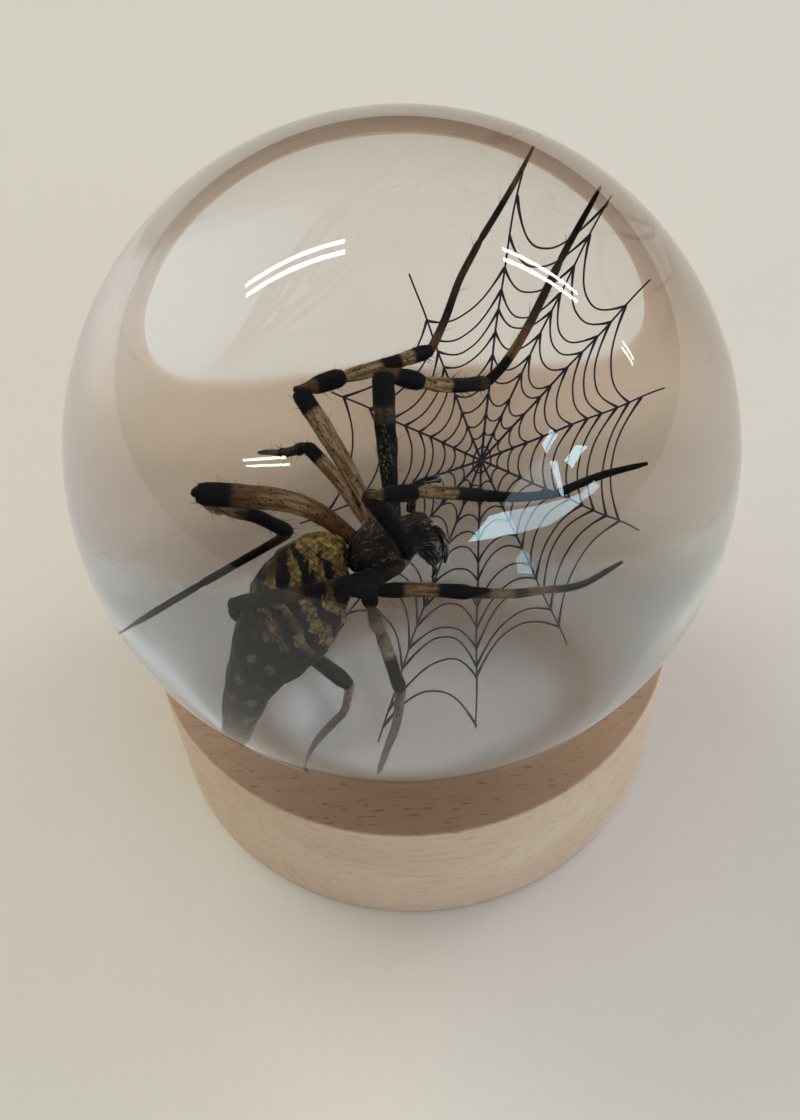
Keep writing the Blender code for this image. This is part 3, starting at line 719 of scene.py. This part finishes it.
def abdomen_paint(settings):
    """Wrinkled abdomen: yellow with black cross stripes in front, dark with two rows of dull spots behind."""
    paint = Paint("dried_abdomen", Specular_IOR_Level=0.08)
    grain = paint.attribute("grain", "Vector")
    up, side, back = (paint.axis(grain, letter) for letter in "XYZ")
    broad = paint.noise(grain, 0.42, 3.0, 0.6)
    mottle = paint.noise(grain, 1.5, 5.0, 0.65)
    fine = paint.noise(grain, 7.0)
    stripe_place = back + side * STRIPE_SLANT + (broad - 0.5) * 2.6 + (mottle - 0.5) * 0.7
    collar = 1.0 - paint.step(back + (mottle - 0.5) * 1.2, 1.6, 2.8)
    waves = paint.math("SINE", stripe_place * (math.tau / STRIPE_SPACING))
    stripes = paint.step(waves + (mottle - 0.5) * 1.8 + (broad - 0.5) * 2.2 - collar * 1.2, -0.2, 0.15)
    seams = 1.0 - paint.step(paint.size_of(paint.noise(grain, 0.8, 1.0) - 0.5), 0.006, 0.028)
    fold_place = back * (math.tau / FOLD_SPACING) + side * 0.9 + (broad - 0.5) * 9.0
    folds = paint.step(paint.math("SINE", fold_place), 0.72, 0.96)

    yellow = paint.mix(paint.step(mottle, 0.35, 0.62), settings.yellow, settings.ochre)
    fading = paint.step(back + (mottle - 0.5) * 3.0, 2.5, 7.0)
    yellow = paint.mix(0.75 * fading, yellow, settings.straw)
    for share in (
        paint.step(broad + side * 0.02, 0.47, 0.6) * (1.0 - 0.6 * collar), 0.6 * folds,
        0.6 * paint.step(paint.noise(grain, 3.2, 3.0, 0.6), 0.46, 0.62),
    ):
        yellow = paint.mix(share, yellow, settings.olive)
    front = paint.mix(paint.clamp(stripes + 0.75 * seams), yellow, settings.black)

    lobes = paint.math("SINE", back * (math.tau / SPOT_SPACING) + (broad - 0.5) * 5.0)
    beside = paint.size_of(paint.size_of(side) - 0.75)
    spots = paint.step(lobes + (mottle - 0.5) * 2.4 - beside * 2.2, -0.1, 0.6)
    rear = paint.mix(spots * paint.step(mottle, 0.4, 0.56), settings.soot, settings.dull)

    colour = paint.mix(paint.step(back + (broad - 0.5) * 4.0, 6.4, 8.6), front, rear)
    belly = paint.step(up * -1.0 + (mottle - 0.5) * 1.5, -0.4, 1.2)
    colour = paint.mix(0.85 * belly, colour, settings.soot)
    colour = paint.mix(paint.step(fine, 0.58, 0.72) * 0.4, colour, settings.black)
    relief = mottle + fine * 0.4 - folds * 0.5 - seams * 0.6
    return paint.finish(colour, 0.38 + 0.3 * mottle, paint.bump(relief, 0.16 * MM, 0.9))


def eye_paint(settings):
    """Glossy black."""
    paint = Paint("eyes", Roughness=0.08, Coat_Weight=0.6)
    tone = paint.noise(paint.place(), 3000.0, 2.0)
    return paint.finish(paint.mix(tone, settings.black, settings.eye_light))


def hair_paint(name, dark, light):
    """Hairs that go from one colour to another from hair to hair."""
    paint = Paint(name, Roughness=0.5, Specular_IOR_Level=0.06)
    tone = paint.noise(paint.place(), 900.0, 1.0)
    return paint.finish(paint.mix(paint.step(tone, 0.35, 0.65), dark, light))


def floor_paint(settings):
    """A plain pale table top with a faint fine texture."""
    paint = Paint("pale_floor", Roughness=0.6, Specular_IOR_Level=0.25)
    broad = paint.noise(paint.place(), 7.0, 2.0)
    fine = paint.noise(paint.place(), 900.0, 4.0, 0.6)
    darker = tuple(channel * 0.93 for channel in settings.floor)
    colour = paint.mix(0.6 * broad + 0.4 * fine, darker, settings.floor)
    return paint.finish(colour, None, paint.bump(fine, 0.08 * MM, 0.35))


def glow_paint(name, colour, strength):
    """A plain even glow."""
    paint = Paint(name, Base_Color=(0.0, 0.0, 0.0, 1.0), Specular_IOR_Level=0.0, Emission_Strength=strength)
    paint.set("Emission Color", (*colour, 1.0))
    return paint.material


def hair_tree():
    """A tree that grows tapered, bent hairs that lean towards the tip of what they grow on."""
    growth = Growth("leaning_hairs")
    density, reach, slimness, lean = (growth.given(key) for key in ("Density", "Length", "Slimness", "Lean"))
    seed = growth.given("Seed", "Int")
    material = growth.given("Material", "Material")
    hairy = growth.attribute("hairy")
    spread = growth.node(
        "GeometryNodeDistributePointsOnFaces", None,
        {"Mesh": growth.source(), "Density": density * hairy, "Seed": seed},
    )
    normal = Value(growth, spread.socket.node.outputs["Normal"])
    stray = growth.node(
        "FunctionNodeRandomValue", {"data_type": "FLOAT_VECTOR"},
        {0: (-HAIR_STRAY,) * 3, 1: (HAIR_STRAY,) * 3, "Seed": seed},
    )
    leaning = growth.vectors("MULTIPLY", growth.attribute("tipward", "FLOAT_VECTOR"), lean)
    way = growth.vectors("ADD", growth.vectors("ADD", normal, leaning), stray)
    aimed = growth.node("FunctionNodeAlignRotationToVector", {"axis": "Z"}, {"Vector": way})
    strand = growth.node(
        "GeometryNodeCurveQuadraticBezier", None,
        {"Resolution": 4, "Start": (0.0, 0.0, -0.08), "Middle": (0.0, 0.0, 0.5), "End": (0.16, 0.0, 1.0)},
    )
    taper = 1.0 - 0.88 * growth.node("GeometryNodeSplineParameter")
    hair = growth.round_along(strand, growth.ring(3, slimness), taper)
    chance = growth.node(
        "FunctionNodeRandomValue", {"data_type": "FLOAT"}, {2: 0.0, 3: 1.0, "Seed": seed}, output=1,
    )
    size = (0.3 + 0.7 * chance * chance) * (0.7 + 0.3 * hairy)
    hairs = growth.node(
        "GeometryNodeInstanceOnPoints", None,
        {"Points": spread, "Instance": hair, "Rotation": aimed, "Scale": reach * size},
    )
    growth.close(hairs, material)
    return growth


def thread_tree():
    """A tree that gives every run of edges a round thread, as thick as its points say."""
    growth = Growth("round_threads")
    thickness = growth.given("Thickness")
    sides = growth.given("Sides", "Int")
    material = growth.given("Material", "Material")
    runs = growth.node("GeometryNodeMeshToCurve", None, {"Mesh": growth.source()})
    threads = growth.round_along(runs, growth.ring(sides, thickness * 0.5), growth.attribute("swell"))
    growth.close(threads, material)
    return growth


def bands_of(words):
    """The shares of a leg part's length, and the tones there, from a line of percentages and tones."""
    words = words.split()
    return [int(percent) / 100 for percent in words[::2]], [TONES[tone] for tone in words[1::2]]


def grooves(seed, depth=0.035):
    """Relief of a dried leg: lengthwise folds and small lumps."""
    def relief(angle, along):
        folds = math.sin(5 * angle + seed + 0.6 * math.sin(0.5 * along))
        lumps = ripple((math.cos(angle), math.sin(angle), along * 0.7), 1.6, seed)
        return 1.0 + depth * folds + 1.6 * depth * lumps
    return relief


def add_leg(skin, hips, leg, seed):
    """A leg's hip and five parts, each a closed shell whose start lies in the last one's end."""
    root, parts = Vector(leg[0]), leg[1]
    start = PROSOMA + (root - PROSOMA) * 0.35
    hip_bands = "0 umber 100 " + parts[0][2].split()[1]
    pieces = [(hips, "hip", (start, start.lerp(root, 0.6), root), parts[0][1] * 0.95, hip_bands)]
    last = root
    for kind, (points, width, bands) in zip(LEG_PARTS, parts):
        pieces.append((skin, kind, (last, *map(Vector, points)), width, bands))
        last = Vector(points[-1])
    travelled = 0.0
    for shells, kind, points, width, bands in pieces:
        sunk = points[0] - (points[1] - points[0]).normalized() * SEGMENT_OVERLAP
        reach, rows = smooth_run([tuple(point) for point in (sunk, *points[1:])], LEG_RING_SPACING)
        shares = reach / reach[-1]
        rows = np.column_stack((rows, np.interp(shares, *zip(*GIRTH[kind])) * width))
        places, tones = bands_of(bands)
        marks = np.column_stack([np.interp(shares, places, column) for column in zip(*tones)])
        shells.tube(
            rows, reach + travelled, marks, LEG_SIDES, relief=grooves(seed + travelled), hairy=HAIRY[kind],
        )
        travelled += reach[-1]


def add_stalks(skin, kind):
    """All the feelers, jaws, fangs or spinnerets."""
    seed, hairy, spacing, depth, stalks = STALKS[kind]
    for index, stalk in enumerate(stalks):
        reach, rows = smooth_run(stalk, spacing)
        tones = np.tile(TONES["black"], (len(rows), 1))
        skin.tube(rows, reach, tones, STALK_SIDES, relief=grooves(seed + index, depth), hairy=hairy)


def shield_relief(angle, along):
    """Grooves of the shield's upper side, which run out from a pit, and small wrinkles."""
    place = along + SHIELD[0][0]
    lift = math.cos(angle)
    height = 1.0 + 0.03 * ripple((lift, math.sin(angle), place), 2.2, 5.0)
    if lift < 0:
        return height - 0.12 * lift * lift
    across = math.sin(angle) * 2.3
    away = math.hypot(place - PIT_PLACE, across)
    bearing = abs(math.atan2(across, place - PIT_PLACE))
    cut = max(math.exp(-((bearing - groove) / 0.09) ** 2) for groove in GROOVE_ANGLES)
    cut *= min(1.0, away / 0.5) * max(0.0, 1.0 - away / 3.2)
    pit = math.exp(-(away / 0.38) ** 2)
    return height - 0.1 * cut - 0.16 * pit + 0.05 * max(0.0, place - 0.6) * lift


def add_shield(skin):
    """The front body, which is a smooth run of widths along the head's way."""
    places = np.arange(SHIELD[0][0], SHIELD[-1][0] + 0.01, SHIELD_RING_SPACING)
    widths = np.interp(places, *zip(*SHIELD))
    widths = np.convolve(np.pad(widths, 2, "edge"), np.ones(5) / 5, "valid")
    rows = np.array([(*(PROSOMA + HEAD_WAY * place), width) for place, width in zip(places, widths)])
    tones = np.tile(SHIELD_TONE, (len(rows), 1))
    skin.tube(
        rows, places - places[0], tones, SHIELD_SIDES, across=BACK_WAY, flatness=SHIELD_FLATNESS,
        relief=shield_relief, hairy=0.9,
    )


def abdomen_relief(angle, along):
    """Folds and dents of the shrunken abdomen."""
    around = (math.cos(angle) * 2.6, math.sin(angle) * 2.6, along)
    folds = math.sin(along * 2.9 + 1.6 * ripple(around, 0.35, 3.0) + 0.5 * math.cos(angle * 2))
    dents = 0.07 * ripple(around, 0.32, 1.0) - 0.1 * (0.25 - abs(ripple(around, 0.75, 8.0)))
    return 1.0 + 0.018 * folds + dents + 0.02 * ripple(around, 2.4, 2.0)


def add_abdomen(skin):
    """The abdomen, round its own bent middle line."""
    reach, rows = smooth_run(ABDOMEN, ABDOMEN_RING_SPACING)
    skin.tube(
        rows, reach, np.zeros((len(rows), 3)), ABDOMEN_SIDES, across=BACK_WAY, flatness=ABDOMEN_FLATNESS,
        relief=abdomen_relief, hairy=0.4,
    )


def colour(name, about, default, most=1.0):
    """A colour that the user can set."""
    return bpy.props.FloatVectorProperty(
        name=name, description=about, default=default, size=3, min=0.0, max=most, subtype="COLOR",
    )


def length(name, about, default, low, high):
    """A length that the user can set, all given in millimetres here."""
    return bpy.props.FloatProperty(
        name=name, description=about, default=default * MM, min=low * MM, max=high * MM, precision=5,
        subtype="DISTANCE", unit="LENGTH",
    )


def number(name, about, default, low, high, **kind):
    """A plain number that the user can set, with its subtype or unit where it has one."""
    return bpy.props.FloatProperty(name=name, description=about, default=default, min=low, max=high, **kind)


class BaseSettings(bpy.types.PropertyGroup):
    """Sizes and colours of the beech base."""

    edge: length("Edge rounding", "Radius of the rounded upper edge", 0.45, 0.0, 2.0)
    pale: colour("Pale wood", "Lightest colour of the beech", (0.64, 0.5, 0.365))
    deep: colour("Deep wood", "Deeper colour of the beech", (0.55, 0.41, 0.285))
    # Colour multiplied into the base's top as painted shade: the ball's shadow in front and a shadow patch
    # behind it
    painted_shade: colour("Painted shade", "How much darker the painted shade in front of the ball is", (0.5, 0.41, 0.35))
    fleck: colour("Flecks", "Colour of the short flecks and fine lines", (0.14, 0.06, 0.03))


class ResinSettings(bpy.types.PropertyGroup):
    """How the resin ball bends and takes up light."""

    bending: number("Index of refraction", "How strongly the resin bends light", 1.5, 1.3, 1.7)
    ground_roughness: number(
        "Underside roughness", "Roughness of the ground flat underside", 0.14, 0.0, 1.0, subtype="FACTOR",
    )
    tint: colour("Tint", "Colour that light takes on in the resin", (0.94, 0.95, 0.945))
    absorption: number("Absorption", "How much light each metre of resin takes up", 12.0, 0.0, 200.0)


class WebSettings(bpy.types.PropertyGroup):
    """Sizes and colours of the net web."""

    spoke: length("Spoke thickness", "Thickness of the spokes", 0.165, 0.02, 0.5)
    arc_share: number(
        "Arc thickness", "Thickness of the arcs as a share of a spoke's", 0.72, 0.2, 1.5, subtype="FACTOR",
    )
    sag: number(
        "Sag", "How far an arc hangs in towards the hub, as a share of its distance from it", 0.15, 0.0, 0.4,
        subtype="FACTOR",
    )
    colour: colour("Thread", "Colour of the threads", (0.022, 0.018, 0.03))
    light: colour("Worn thread", "Lighter colour of the threads", (0.06, 0.05, 0.075))


class SpiderSettings(bpy.types.PropertyGroup):
    """Colours and hairs of the dried spider."""

    black: colour("Black", "Colour of the black bands and stripes", (0.008, 0.0075, 0.0078))
    silver: colour("Silver", "Colour of the silvery flecks on the legs", (0.34, 0.29, 0.22))
    pale: colour("Pale leg", "Colour of the pale bands on the legs", (0.37, 0.245, 0.125))
    rust: colour("Rust", "Colour of the brown bands on the legs", (0.2, 0.09, 0.035))
    rust_dark: colour("Streaks", "Colour of the streaks along the legs", (0.1, 0.055, 0.028))
    shield: colour("Shield", "Colour of the front body", (0.012, 0.01, 0.0088))
    shield_light: colour("Light shield", "Lighter colour of the front body", (0.036, 0.029, 0.024))
    yellow: colour("Yellow", "Yellow of the abdomen", (0.4, 0.265, 0.07))
    ochre: colour("Ochre", "Deeper yellow of the abdomen", (0.15, 0.092, 0.033))
    olive: colour("Olive", "Olive brown of the abdomen", (0.05, 0.033, 0.014))
    straw: colour("Straw", "Dull straw colour of the abdomen's middle", (0.16, 0.125, 0.072))
    soot: colour("Soot", "Grey-black of the abdomen's rear", (0.009, 0.0092, 0.009))
    dull: colour("Dull spots", "Yellow-green spots of the abdomen's rear", (0.085, 0.082, 0.055))
    eye_light: colour("Light eye", "Lighter colour of the eyes", (0.03, 0.02, 0.015))
    bristle_length: length("Bristle length", "Length of the longest leg bristles", 0.9, 0.1, 3.0)
    bristle: colour("Bristles", "Colour of the leg bristles", (0.008, 0.007, 0.007))
    bristle_light: colour("Light bristles", "Lighter colour of the leg bristles", (0.03, 0.018, 0.012))
    down_length: length("Down length", "Length of the longest silvery hairs", 0.85, 0.1, 3.0)
    down: colour("Down", "Colour of the silvery hairs", (0.2, 0.17, 0.13))
    down_light: colour("Light down", "Lighter colour of the silvery hairs", (0.85, 0.8, 0.7))


class StageSettings(bpy.types.PropertyGroup):
    """The floor and the light."""

    floor: colour("Floor", "Colour of the floor and of the wall behind it", (0.66, 0.62, 0.55))
    room: colour("Room", "Light from all round", (0.29, 0.27, 0.26), 10.0)
    window_glow: colour("Window side", "Cool light from low on the viewer's right", (2.08, 2.42, 2.86), 10.0)
    far_glow: colour("Far side", "Cool light from high on the far right", (1.37, 1.46, 1.78), 10.0)
    left_glow: colour("Left side", "Warm light from high on the far left", (1.78, 1.81, 1.5), 10.0)
    tube_power: number(
        "Tube power", "Power of each metre of ceiling tube", 4.4, 0.0, 100.0, subtype="POWER", unit="POWER",
    )
    pane: colour("Window panes", "Colour of the window's panes", (0.58, 0.85, 1.0))
    pane_glow: number("Window glow", "How brightly the window's panes glow", 12.5, 0.0, 1000.0)


class Maker:
    """What all the operators here share."""

    bl_options = {"REGISTER", "UNDO"}


class RESINBALL_OT_base(Maker, bpy.types.Operator):
    """Turn the beech base"""

    bl_idname = "resinball.base"
    bl_label = "Beech base"

    def execute(self, context):
        settings = context.scene.resinball_base
        edge = settings.edge
        radius, height = BASE_RADIUS, BASE_HEIGHT
        profile = [(radius * i / TOP_RINGS, height) for i in range(TOP_RINGS)]
        for i in range(EDGE_RINGS + 1):
            turn = math.pi / 2 * (1 - i / EDGE_RINGS)
            profile.append((radius - edge * (1 - math.cos(turn)), height - edge * (1 - math.sin(turn))))
        wall = height - 2 * edge
        profile += [(radius, height - edge - wall * i / WALL_RINGS) for i in range(1, WALL_RINGS)]
        profile += [(radius, edge), (radius - 0.3 * edge, 0.3 * edge), (radius - edge, 0.0), (0.0, 0.0)]
        made = turned(list(dict.fromkeys(profile)))
        for vertex in made.verts:
            x, y, z = vertex.co
            out = math.hypot(x, y)
            if z > height - 1.2 * edge and out > radius - 1.2 * edge:
                worn = 0.1 * edge * abs(ripple((x, y, z), 1500.0))
                vertex.co -= Vector((x, y, 0)).normalized() * worn
            elif z > height - edge and out < radius - edge:
                vertex.co.z -= 0.012 * MM * (1 + math.sin(out * 9000.0 + 2 * ripple((x, y, 0), 60.0)))
        mesh = as_mesh("beech_base", made)
        mesh.set_sharp_from_angle(angle=math.radians(50))
        keep(add_object("beech_base", mesh, beech_paint(settings)), "beech", "wood_base")
        return {"FINISHED"}


class RESINBALL_OT_resin(Maker, bpy.types.Operator):
    """Cast the clear ball with its ground flat underside"""

    bl_idname = "resinball.resin"
    bl_label = "Resin ball"

    def execute(self, context):
        settings = context.scene.resinball_resin
        # Degrees up from the underside's middle: close together where the lower edge is rounded
        turns = np.concatenate((np.arange(4, 24, 4), np.arange(24, 60, 1), np.linspace(60, 178.5, 80)))
        profile = [(0.0, FLAT_HEIGHT)]
        for turn in np.radians(turns):
            reach = min(BALL_RADIUS, FLAT_BELOW_CENTRE / max(math.cos(turn), 0.1))
            reach -= RIM_CUT * max(1.0 - abs(turn - RIM_ANGLE) / RIM_SPREAD, 0.0) ** 3
            profile.append((reach * math.sin(turn), BALL_CENTRE.z - reach * math.cos(turn)))
        profile.append((0.0, BALL_CENTRE.z + BALL_RADIUS))
        mesh = as_mesh("resin_ball", turned(profile))
        ball = add_object("resin_ball", mesh, resin_paint(settings))
        keep(ball, "clear_resin", "resin_left", "resin_right")
        return {"FINISHED"}


class RESINBALL_OT_web(Maker, bpy.types.Operator):
    """Tie the net web"""

    bl_idname = "resinball.web"
    bl_label = "Net web"

    def execute(self, context):
        settings = context.scene.resinball_web
        face = Vector((
            math.cos(WEB_AZIMUTH) * math.cos(WEB_ELEVATION),
            math.sin(WEB_AZIMUTH) * math.cos(WEB_ELEVATION),
            math.sin(WEB_ELEVATION),
        ))
        right = (Vector((1, 0, 0)) - face * face.x).normalized()
        up = face.cross(right)
        points, edges, swells = [], [], []

        def place(angle, radius):
            return WEB_HUB + (right * math.cos(angle) + up * math.sin(angle)) * radius

        def thread(run, swell):
            for index, point in enumerate(run):
                if index:
                    edges.append((len(points) - 1, len(points)))
                points.append(BALL_CENTRE + point * MM)
                swells.append(swell(index / (len(run) - 1)))

        def spoke_swell(share):
            return 1.05 - 0.35 * share

        def arc_swell(share):
            return settings.arc_share * (1.0 + 0.7 * math.exp(-(min(share, 1 - share) * 12) ** 2))

        for angle, reach, _ in SPOKES:
            angle = math.radians(angle)
            radii = np.linspace(0.0, reach, SPOKE_POINTS)
            thread([place(angle + 0.004 * math.sin(0.9 * radius), radius) for radius in radii], spoke_swell)
        for near, far in zip(SPOKES, SPOKES[1:] + SPOKES[:1]):
            turn = (far[0] - near[0]) % 360
            for ring, (inner, outer) in enumerate(zip(near[2], far[2])):
                dip = settings.sag * (1.0 + 0.12 * math.sin(2.3 * ring + near[0]))
                run = []
                for share in np.linspace(0.0, 1.0, ARC_POINTS):
                    radius = inner + (outer - inner) * share
                    hang = (1.0 - abs(2 * share - 1) ** 2.4) * dip * radius
                    run.append(place(math.radians(near[0] + turn * share), radius - hang))
                thread(run, arc_swell)
        mesh = bpy.data.meshes.new("web_runs")
        mesh.from_pydata(points, edges, [])
        mesh.attributes.new("swell", "FLOAT", "POINT").data.foreach_set("value", np.array(swells, np.float32))
        net = thread_tree().grow(
            "net_web", mesh, Thickness=settings.spoke, Sides=THREAD_SIDES, Material=net_paint(settings),
        )
        keep(net, "dark_net", "web")
        return {"FINISHED"}


class RESINBALL_OT_spider(Maker, bpy.types.Operator):
    """Shape the dried spider's legs, front body, abdomen and eyes"""

    bl_idname = "resinball.spider"
    bl_label = "Spider"

    def execute(self, context):
        settings = context.scene.resinball_spider
        legs, hips, front, rear = Skin(), Skin(), Skin(), Skin()
        for index, leg in enumerate(LEGS.values()):
            add_leg(legs, hips, leg, index * 1.9)
        add_shield(front)
        for kind in ("feelers", "jaws", "fangs"):
            add_stalks(front, kind)
        add_abdomen(rear)
        add_stalks(rear, "spinnerets")
        leg_skin = leg_paint(settings)
        for name, skin, paint in (
            ("spider_legs", legs, leg_skin), ("spider_hips", hips, leg_skin),
            ("spider_front", front, shield_paint(settings)),
            ("spider_abdomen", rear, abdomen_paint(settings)),
        ):
            keep(add_object(name, skin.mesh(name), paint), "dried_spider", "spider")
        made = bmesh.new()
        for (ahead, aside, high, radius), side in itertools.product(EYES, (1, -1)):
            middle = PROSOMA + HEAD_WAY * ahead + LEFT_WAY * aside * side + BACK_WAY * high
            place = Matrix.Translation(BALL_CENTRE + middle * MM)
            bmesh.ops.create_icosphere(made, subdivisions=3, radius=radius * MM, matrix=place)
        eyes = add_object("spider_eyes", as_mesh("spider_eyes", made), eye_paint(settings))
        keep(eyes, "dried_spider", "spider")
        return {"FINISHED"}


class RESINBALL_OT_hairs(Maker, bpy.types.Operator):
    """Grow the leg bristles and the silvery hairs of the body"""

    bl_idname = "resinball.hairs"
    bl_label = "Hairs"

    def execute(self, context):
        settings = context.scene.resinball_spider
        tree = hair_tree()
        kinds = {
            "bristles": (settings.bristle_length, settings.bristle, settings.bristle_light),
            "silvery_down": (settings.down_length, settings.down, settings.down_light),
        }
        paints = {kind: hair_paint(kind, dark, light) for kind, (_, dark, light) in kinds.items()}
        for name, carrier, density, share, slimness, lean, kind, seed in HAIRS:
            if carrier not in bpy.data.objects:
                raise RuntimeError("the spider is shaped before its hairs")
            mesh = bpy.data.objects[carrier].data.copy()
            mesh.materials.clear()
            hairs = tree.grow(
                name, mesh, Density=density, Length=kinds[kind][0] * share, Slimness=slimness, Lean=lean,
                Seed=seed, Material=paints[kind],
            )
            keep(hairs, "dried_spider", "spider")
        return {"FINISHED"}


def add_lamp(name, place, size, power):
    """A lamp that faces the floor, and that the resin mirrors but does not show inside."""
    lamp = bpy.data.lights.new(name, "AREA")
    lamp.shape = "RECTANGLE"
    lamp.size, lamp.size_y = size
    lamp.energy = power
    lamp.color = TUBE_COLOUR
    holder = bpy.data.objects.new(name, lamp)
    holder.visible_transmission = False
    holder.location = place
    bpy.context.scene.collection.objects.link(holder)


def view_axes():
    """The camera's place, and the turn from the model's axes to the camera's own."""
    back = Vector((0.0, -math.cos(VIEW_ELEVATION), math.sin(VIEW_ELEVATION)))
    right = Vector((1.0, 0.0, 0.0))
    straight = Matrix((right, right.cross(-back), back))
    swing = Vector((0.0, 0.0, -1.0)).rotation_difference(sight_of(BALL_PIXEL)).to_matrix()
    return BALL_CENTRE + back * VIEW_DISTANCE, swing @ Matrix.Rotation(VIEW_ROLL, 3, "Z") @ straight


def sight_of(pixel):
    """The way through a pixel of the photograph, in the camera's own axes."""
    across = (pixel[0] - PHOTO_WIDTH / 2) / VIEW_FOCAL_PIXELS
    down = (pixel[1] - PHOTO_HEIGHT / 2) / VIEW_FOCAL_PIXELS
    return Vector((across, -down, -1.0)).normalized()


def mirror_of(pixel, distance):
    """The place from which light reaches a pixel by way of a reflection on the front of the ball."""
    eye, turn = view_axes()
    way = turn.transposed() @ sight_of(pixel)
    out = eye - BALL_CENTRE
    half = out.dot(way)
    touch = eye + way * (-half - math.sqrt(half * half - out.length_squared + BALL_RADIUS**2))
    normal = (touch - BALL_CENTRE).normalized()
    return touch + (way - normal * 2 * way.dot(normal)) * distance


def photo_camera():
    """The camera: the ball's middle falls on its pixel, and the frame is rolled a little."""
    eye, turn = view_axes()
    camera = bpy.data.cameras.new("photo_camera")
    camera.sensor_width = SENSOR_WIDTH
    camera.lens = VIEW_FOCAL_PIXELS * SENSOR_WIDTH / PHOTO_HEIGHT
    camera.clip_start = 1.0 * MM
    holder = bpy.data.objects.new("photo_camera", camera)
    holder.matrix_world = Matrix.Translation(eye) @ turn.transposed().to_4x4()
    bpy.context.scene.collection.objects.link(holder)
    bpy.context.scene.camera = holder


def soft_room(settings):
    """Light from all round, with three wide soft glows."""
    world = bpy.data.worlds.new("soft_room")
    world.use_nodes = True
    room = Tree(world.node_tree)
    way = room.node("ShaderNodeTexCoord", output="Generated")
    light = tuple(settings.room)
    for centre, tone in (
        (WINDOW_SIDE, settings.window_glow), (FAR_SIDE, settings.far_glow), (LEFT_SIDE, settings.left_glow),
    ):
        near = room.vectors("DOT_PRODUCT", way, Vector(centre).normalized(), output=1)
        glow = room.vectors("SCALE", tuple(tone), room.step(near, GLOW_EDGE, 1.0))
        light = room.vectors("ADD", light, glow)
    room.feed(room.tree.nodes["Background"].inputs["Color"], light)
    return world


def add_floor(settings):
    """The plain table top that the base stands on."""
    made = bmesh.new()
    bmesh.ops.create_grid(made, x_segments=12, y_segments=12, size=FLOOR_HALF_WIDTH)
    add_object("floor", as_mesh("floor", made), floor_paint(settings))


def add_backdrop(settings):
    """A pale wall all round, for the camera alone: light passes it, and neither resin nor table sees it."""
    made = bmesh.new()
    bmesh.ops.create_cone(
        made, segments=96, radius1=BACKDROP_RADIUS, radius2=BACKDROP_RADIUS, depth=2 * BACKDROP_RADIUS,
        cap_ends=False,
    )
    bmesh.ops.reverse_faces(made, faces=made.faces)
    wall = add_object("backdrop", as_mesh("backdrop", made), glow_paint("pale_backdrop", settings.floor, 1.0))
    wall.visible_diffuse = wall.visible_glossy = wall.visible_transmission = wall.visible_shadow = False


def add_pane(name, corners, share, settings):
    """A glowing window pane that nothing but reflections shows, with its corners at these pixels."""
    mesh = bpy.data.meshes.new(name)
    mesh.from_pydata([mirror_of(corner, PANE_DISTANCE) for corner in corners], [], [range(len(corners))])
    pane = add_object(name, mesh, glow_paint(name, settings.pane, settings.pane_glow * share))
    pane.visible_camera = pane.visible_diffuse = pane.visible_transmission = pane.visible_shadow = False


class RESINBALL_OT_stage(Maker, bpy.types.Operator):
    """Set the floor, the backdrop, the lights and the camera"""

    bl_idname = "resinball.stage"
    bl_label = "Stage"

    def execute(self, context):
        scene = context.scene
        settings = scene.resinball_stage
        add_floor(settings)
        add_backdrop(settings)
        scene.world = soft_room(settings)
        scene.world.cycles_visibility.glossy = False
        for name, middle, reach in TUBES:
            for row in (-0.5, 0.5):
                place = Vector(middle) + Vector((0, row * TUBE_GAP, 0))
                add_lamp(name, place, (reach, TUBE_WIDTH), settings.tube_power * reach)
        for index, (share, corners) in enumerate(PANES):
            add_pane(f"pane_{index}", corners, share, settings)
        photo_camera()
        scene.view_settings.view_transform = "Standard"
        scene.cycles.max_bounces = LIGHT_BOUNCES
        scene.cycles.glossy_bounces = LIGHT_BOUNCES
        scene.cycles.transmission_bounces = LIGHT_BOUNCES
        scene.cycles.use_light_tree = False
        return {"FINISHED"}


class RESINBALL_PT_panel(bpy.types.Panel):
    """Lists the operators and the settings of the resin ball"""

    bl_idname = "RESINBALL_PT_panel"
    bl_label = "Spider in a Resin Ball"
    bl_space_type = "VIEW_3D"
    bl_region_type = "UI"
    bl_category = "Resin Ball"

    def draw(self, context):
        for operator, group in PIECES:
            box = self.layout.box()
            box.operator(operator.bl_idname)
            if group:
                settings = getattr(context.scene, group)
                for key in settings.__annotations__:
                    box.prop(settings, key)


GROUPS = (
    ("resinball_base", BaseSettings), ("resinball_resin", ResinSettings), ("resinball_web", WebSettings),
    ("resinball_spider", SpiderSettings), ("resinball_stage", StageSettings),
)
PIECES = (
    (RESINBALL_OT_stage, "resinball_stage"), (RESINBALL_OT_base, "resinball_base"),
    (RESINBALL_OT_resin, "resinball_resin"), (RESINBALL_OT_web, "resinball_web"),
    (RESINBALL_OT_spider, "resinball_spider"), (RESINBALL_OT_hairs, None),
)
CLASSES = (*(group for _, group in GROUPS), *(operator for operator, _ in PIECES), RESINBALL_PT_panel)


def register():
    for item in CLASSES:
        bpy.utils.register_class(item)
    for name, group in GROUPS:
        setattr(bpy.types.Scene, name, bpy.props.PointerProperty(type=group))


def unregister():
    for name, _ in GROUPS:
        delattr(bpy.types.Scene, name)
    for item in reversed(CLASSES):
        bpy.utils.unregister_class(item)


def main():
    register()
    bpy.ops.resinball.stage()
    bpy.ops.resinball.base()
    bpy.ops.resinball.resin()
    bpy.ops.resinball.web()
    bpy.ops.resinball.spider()
    bpy.ops.resinball.hairs()


if __name__ == "__main__":
    main()
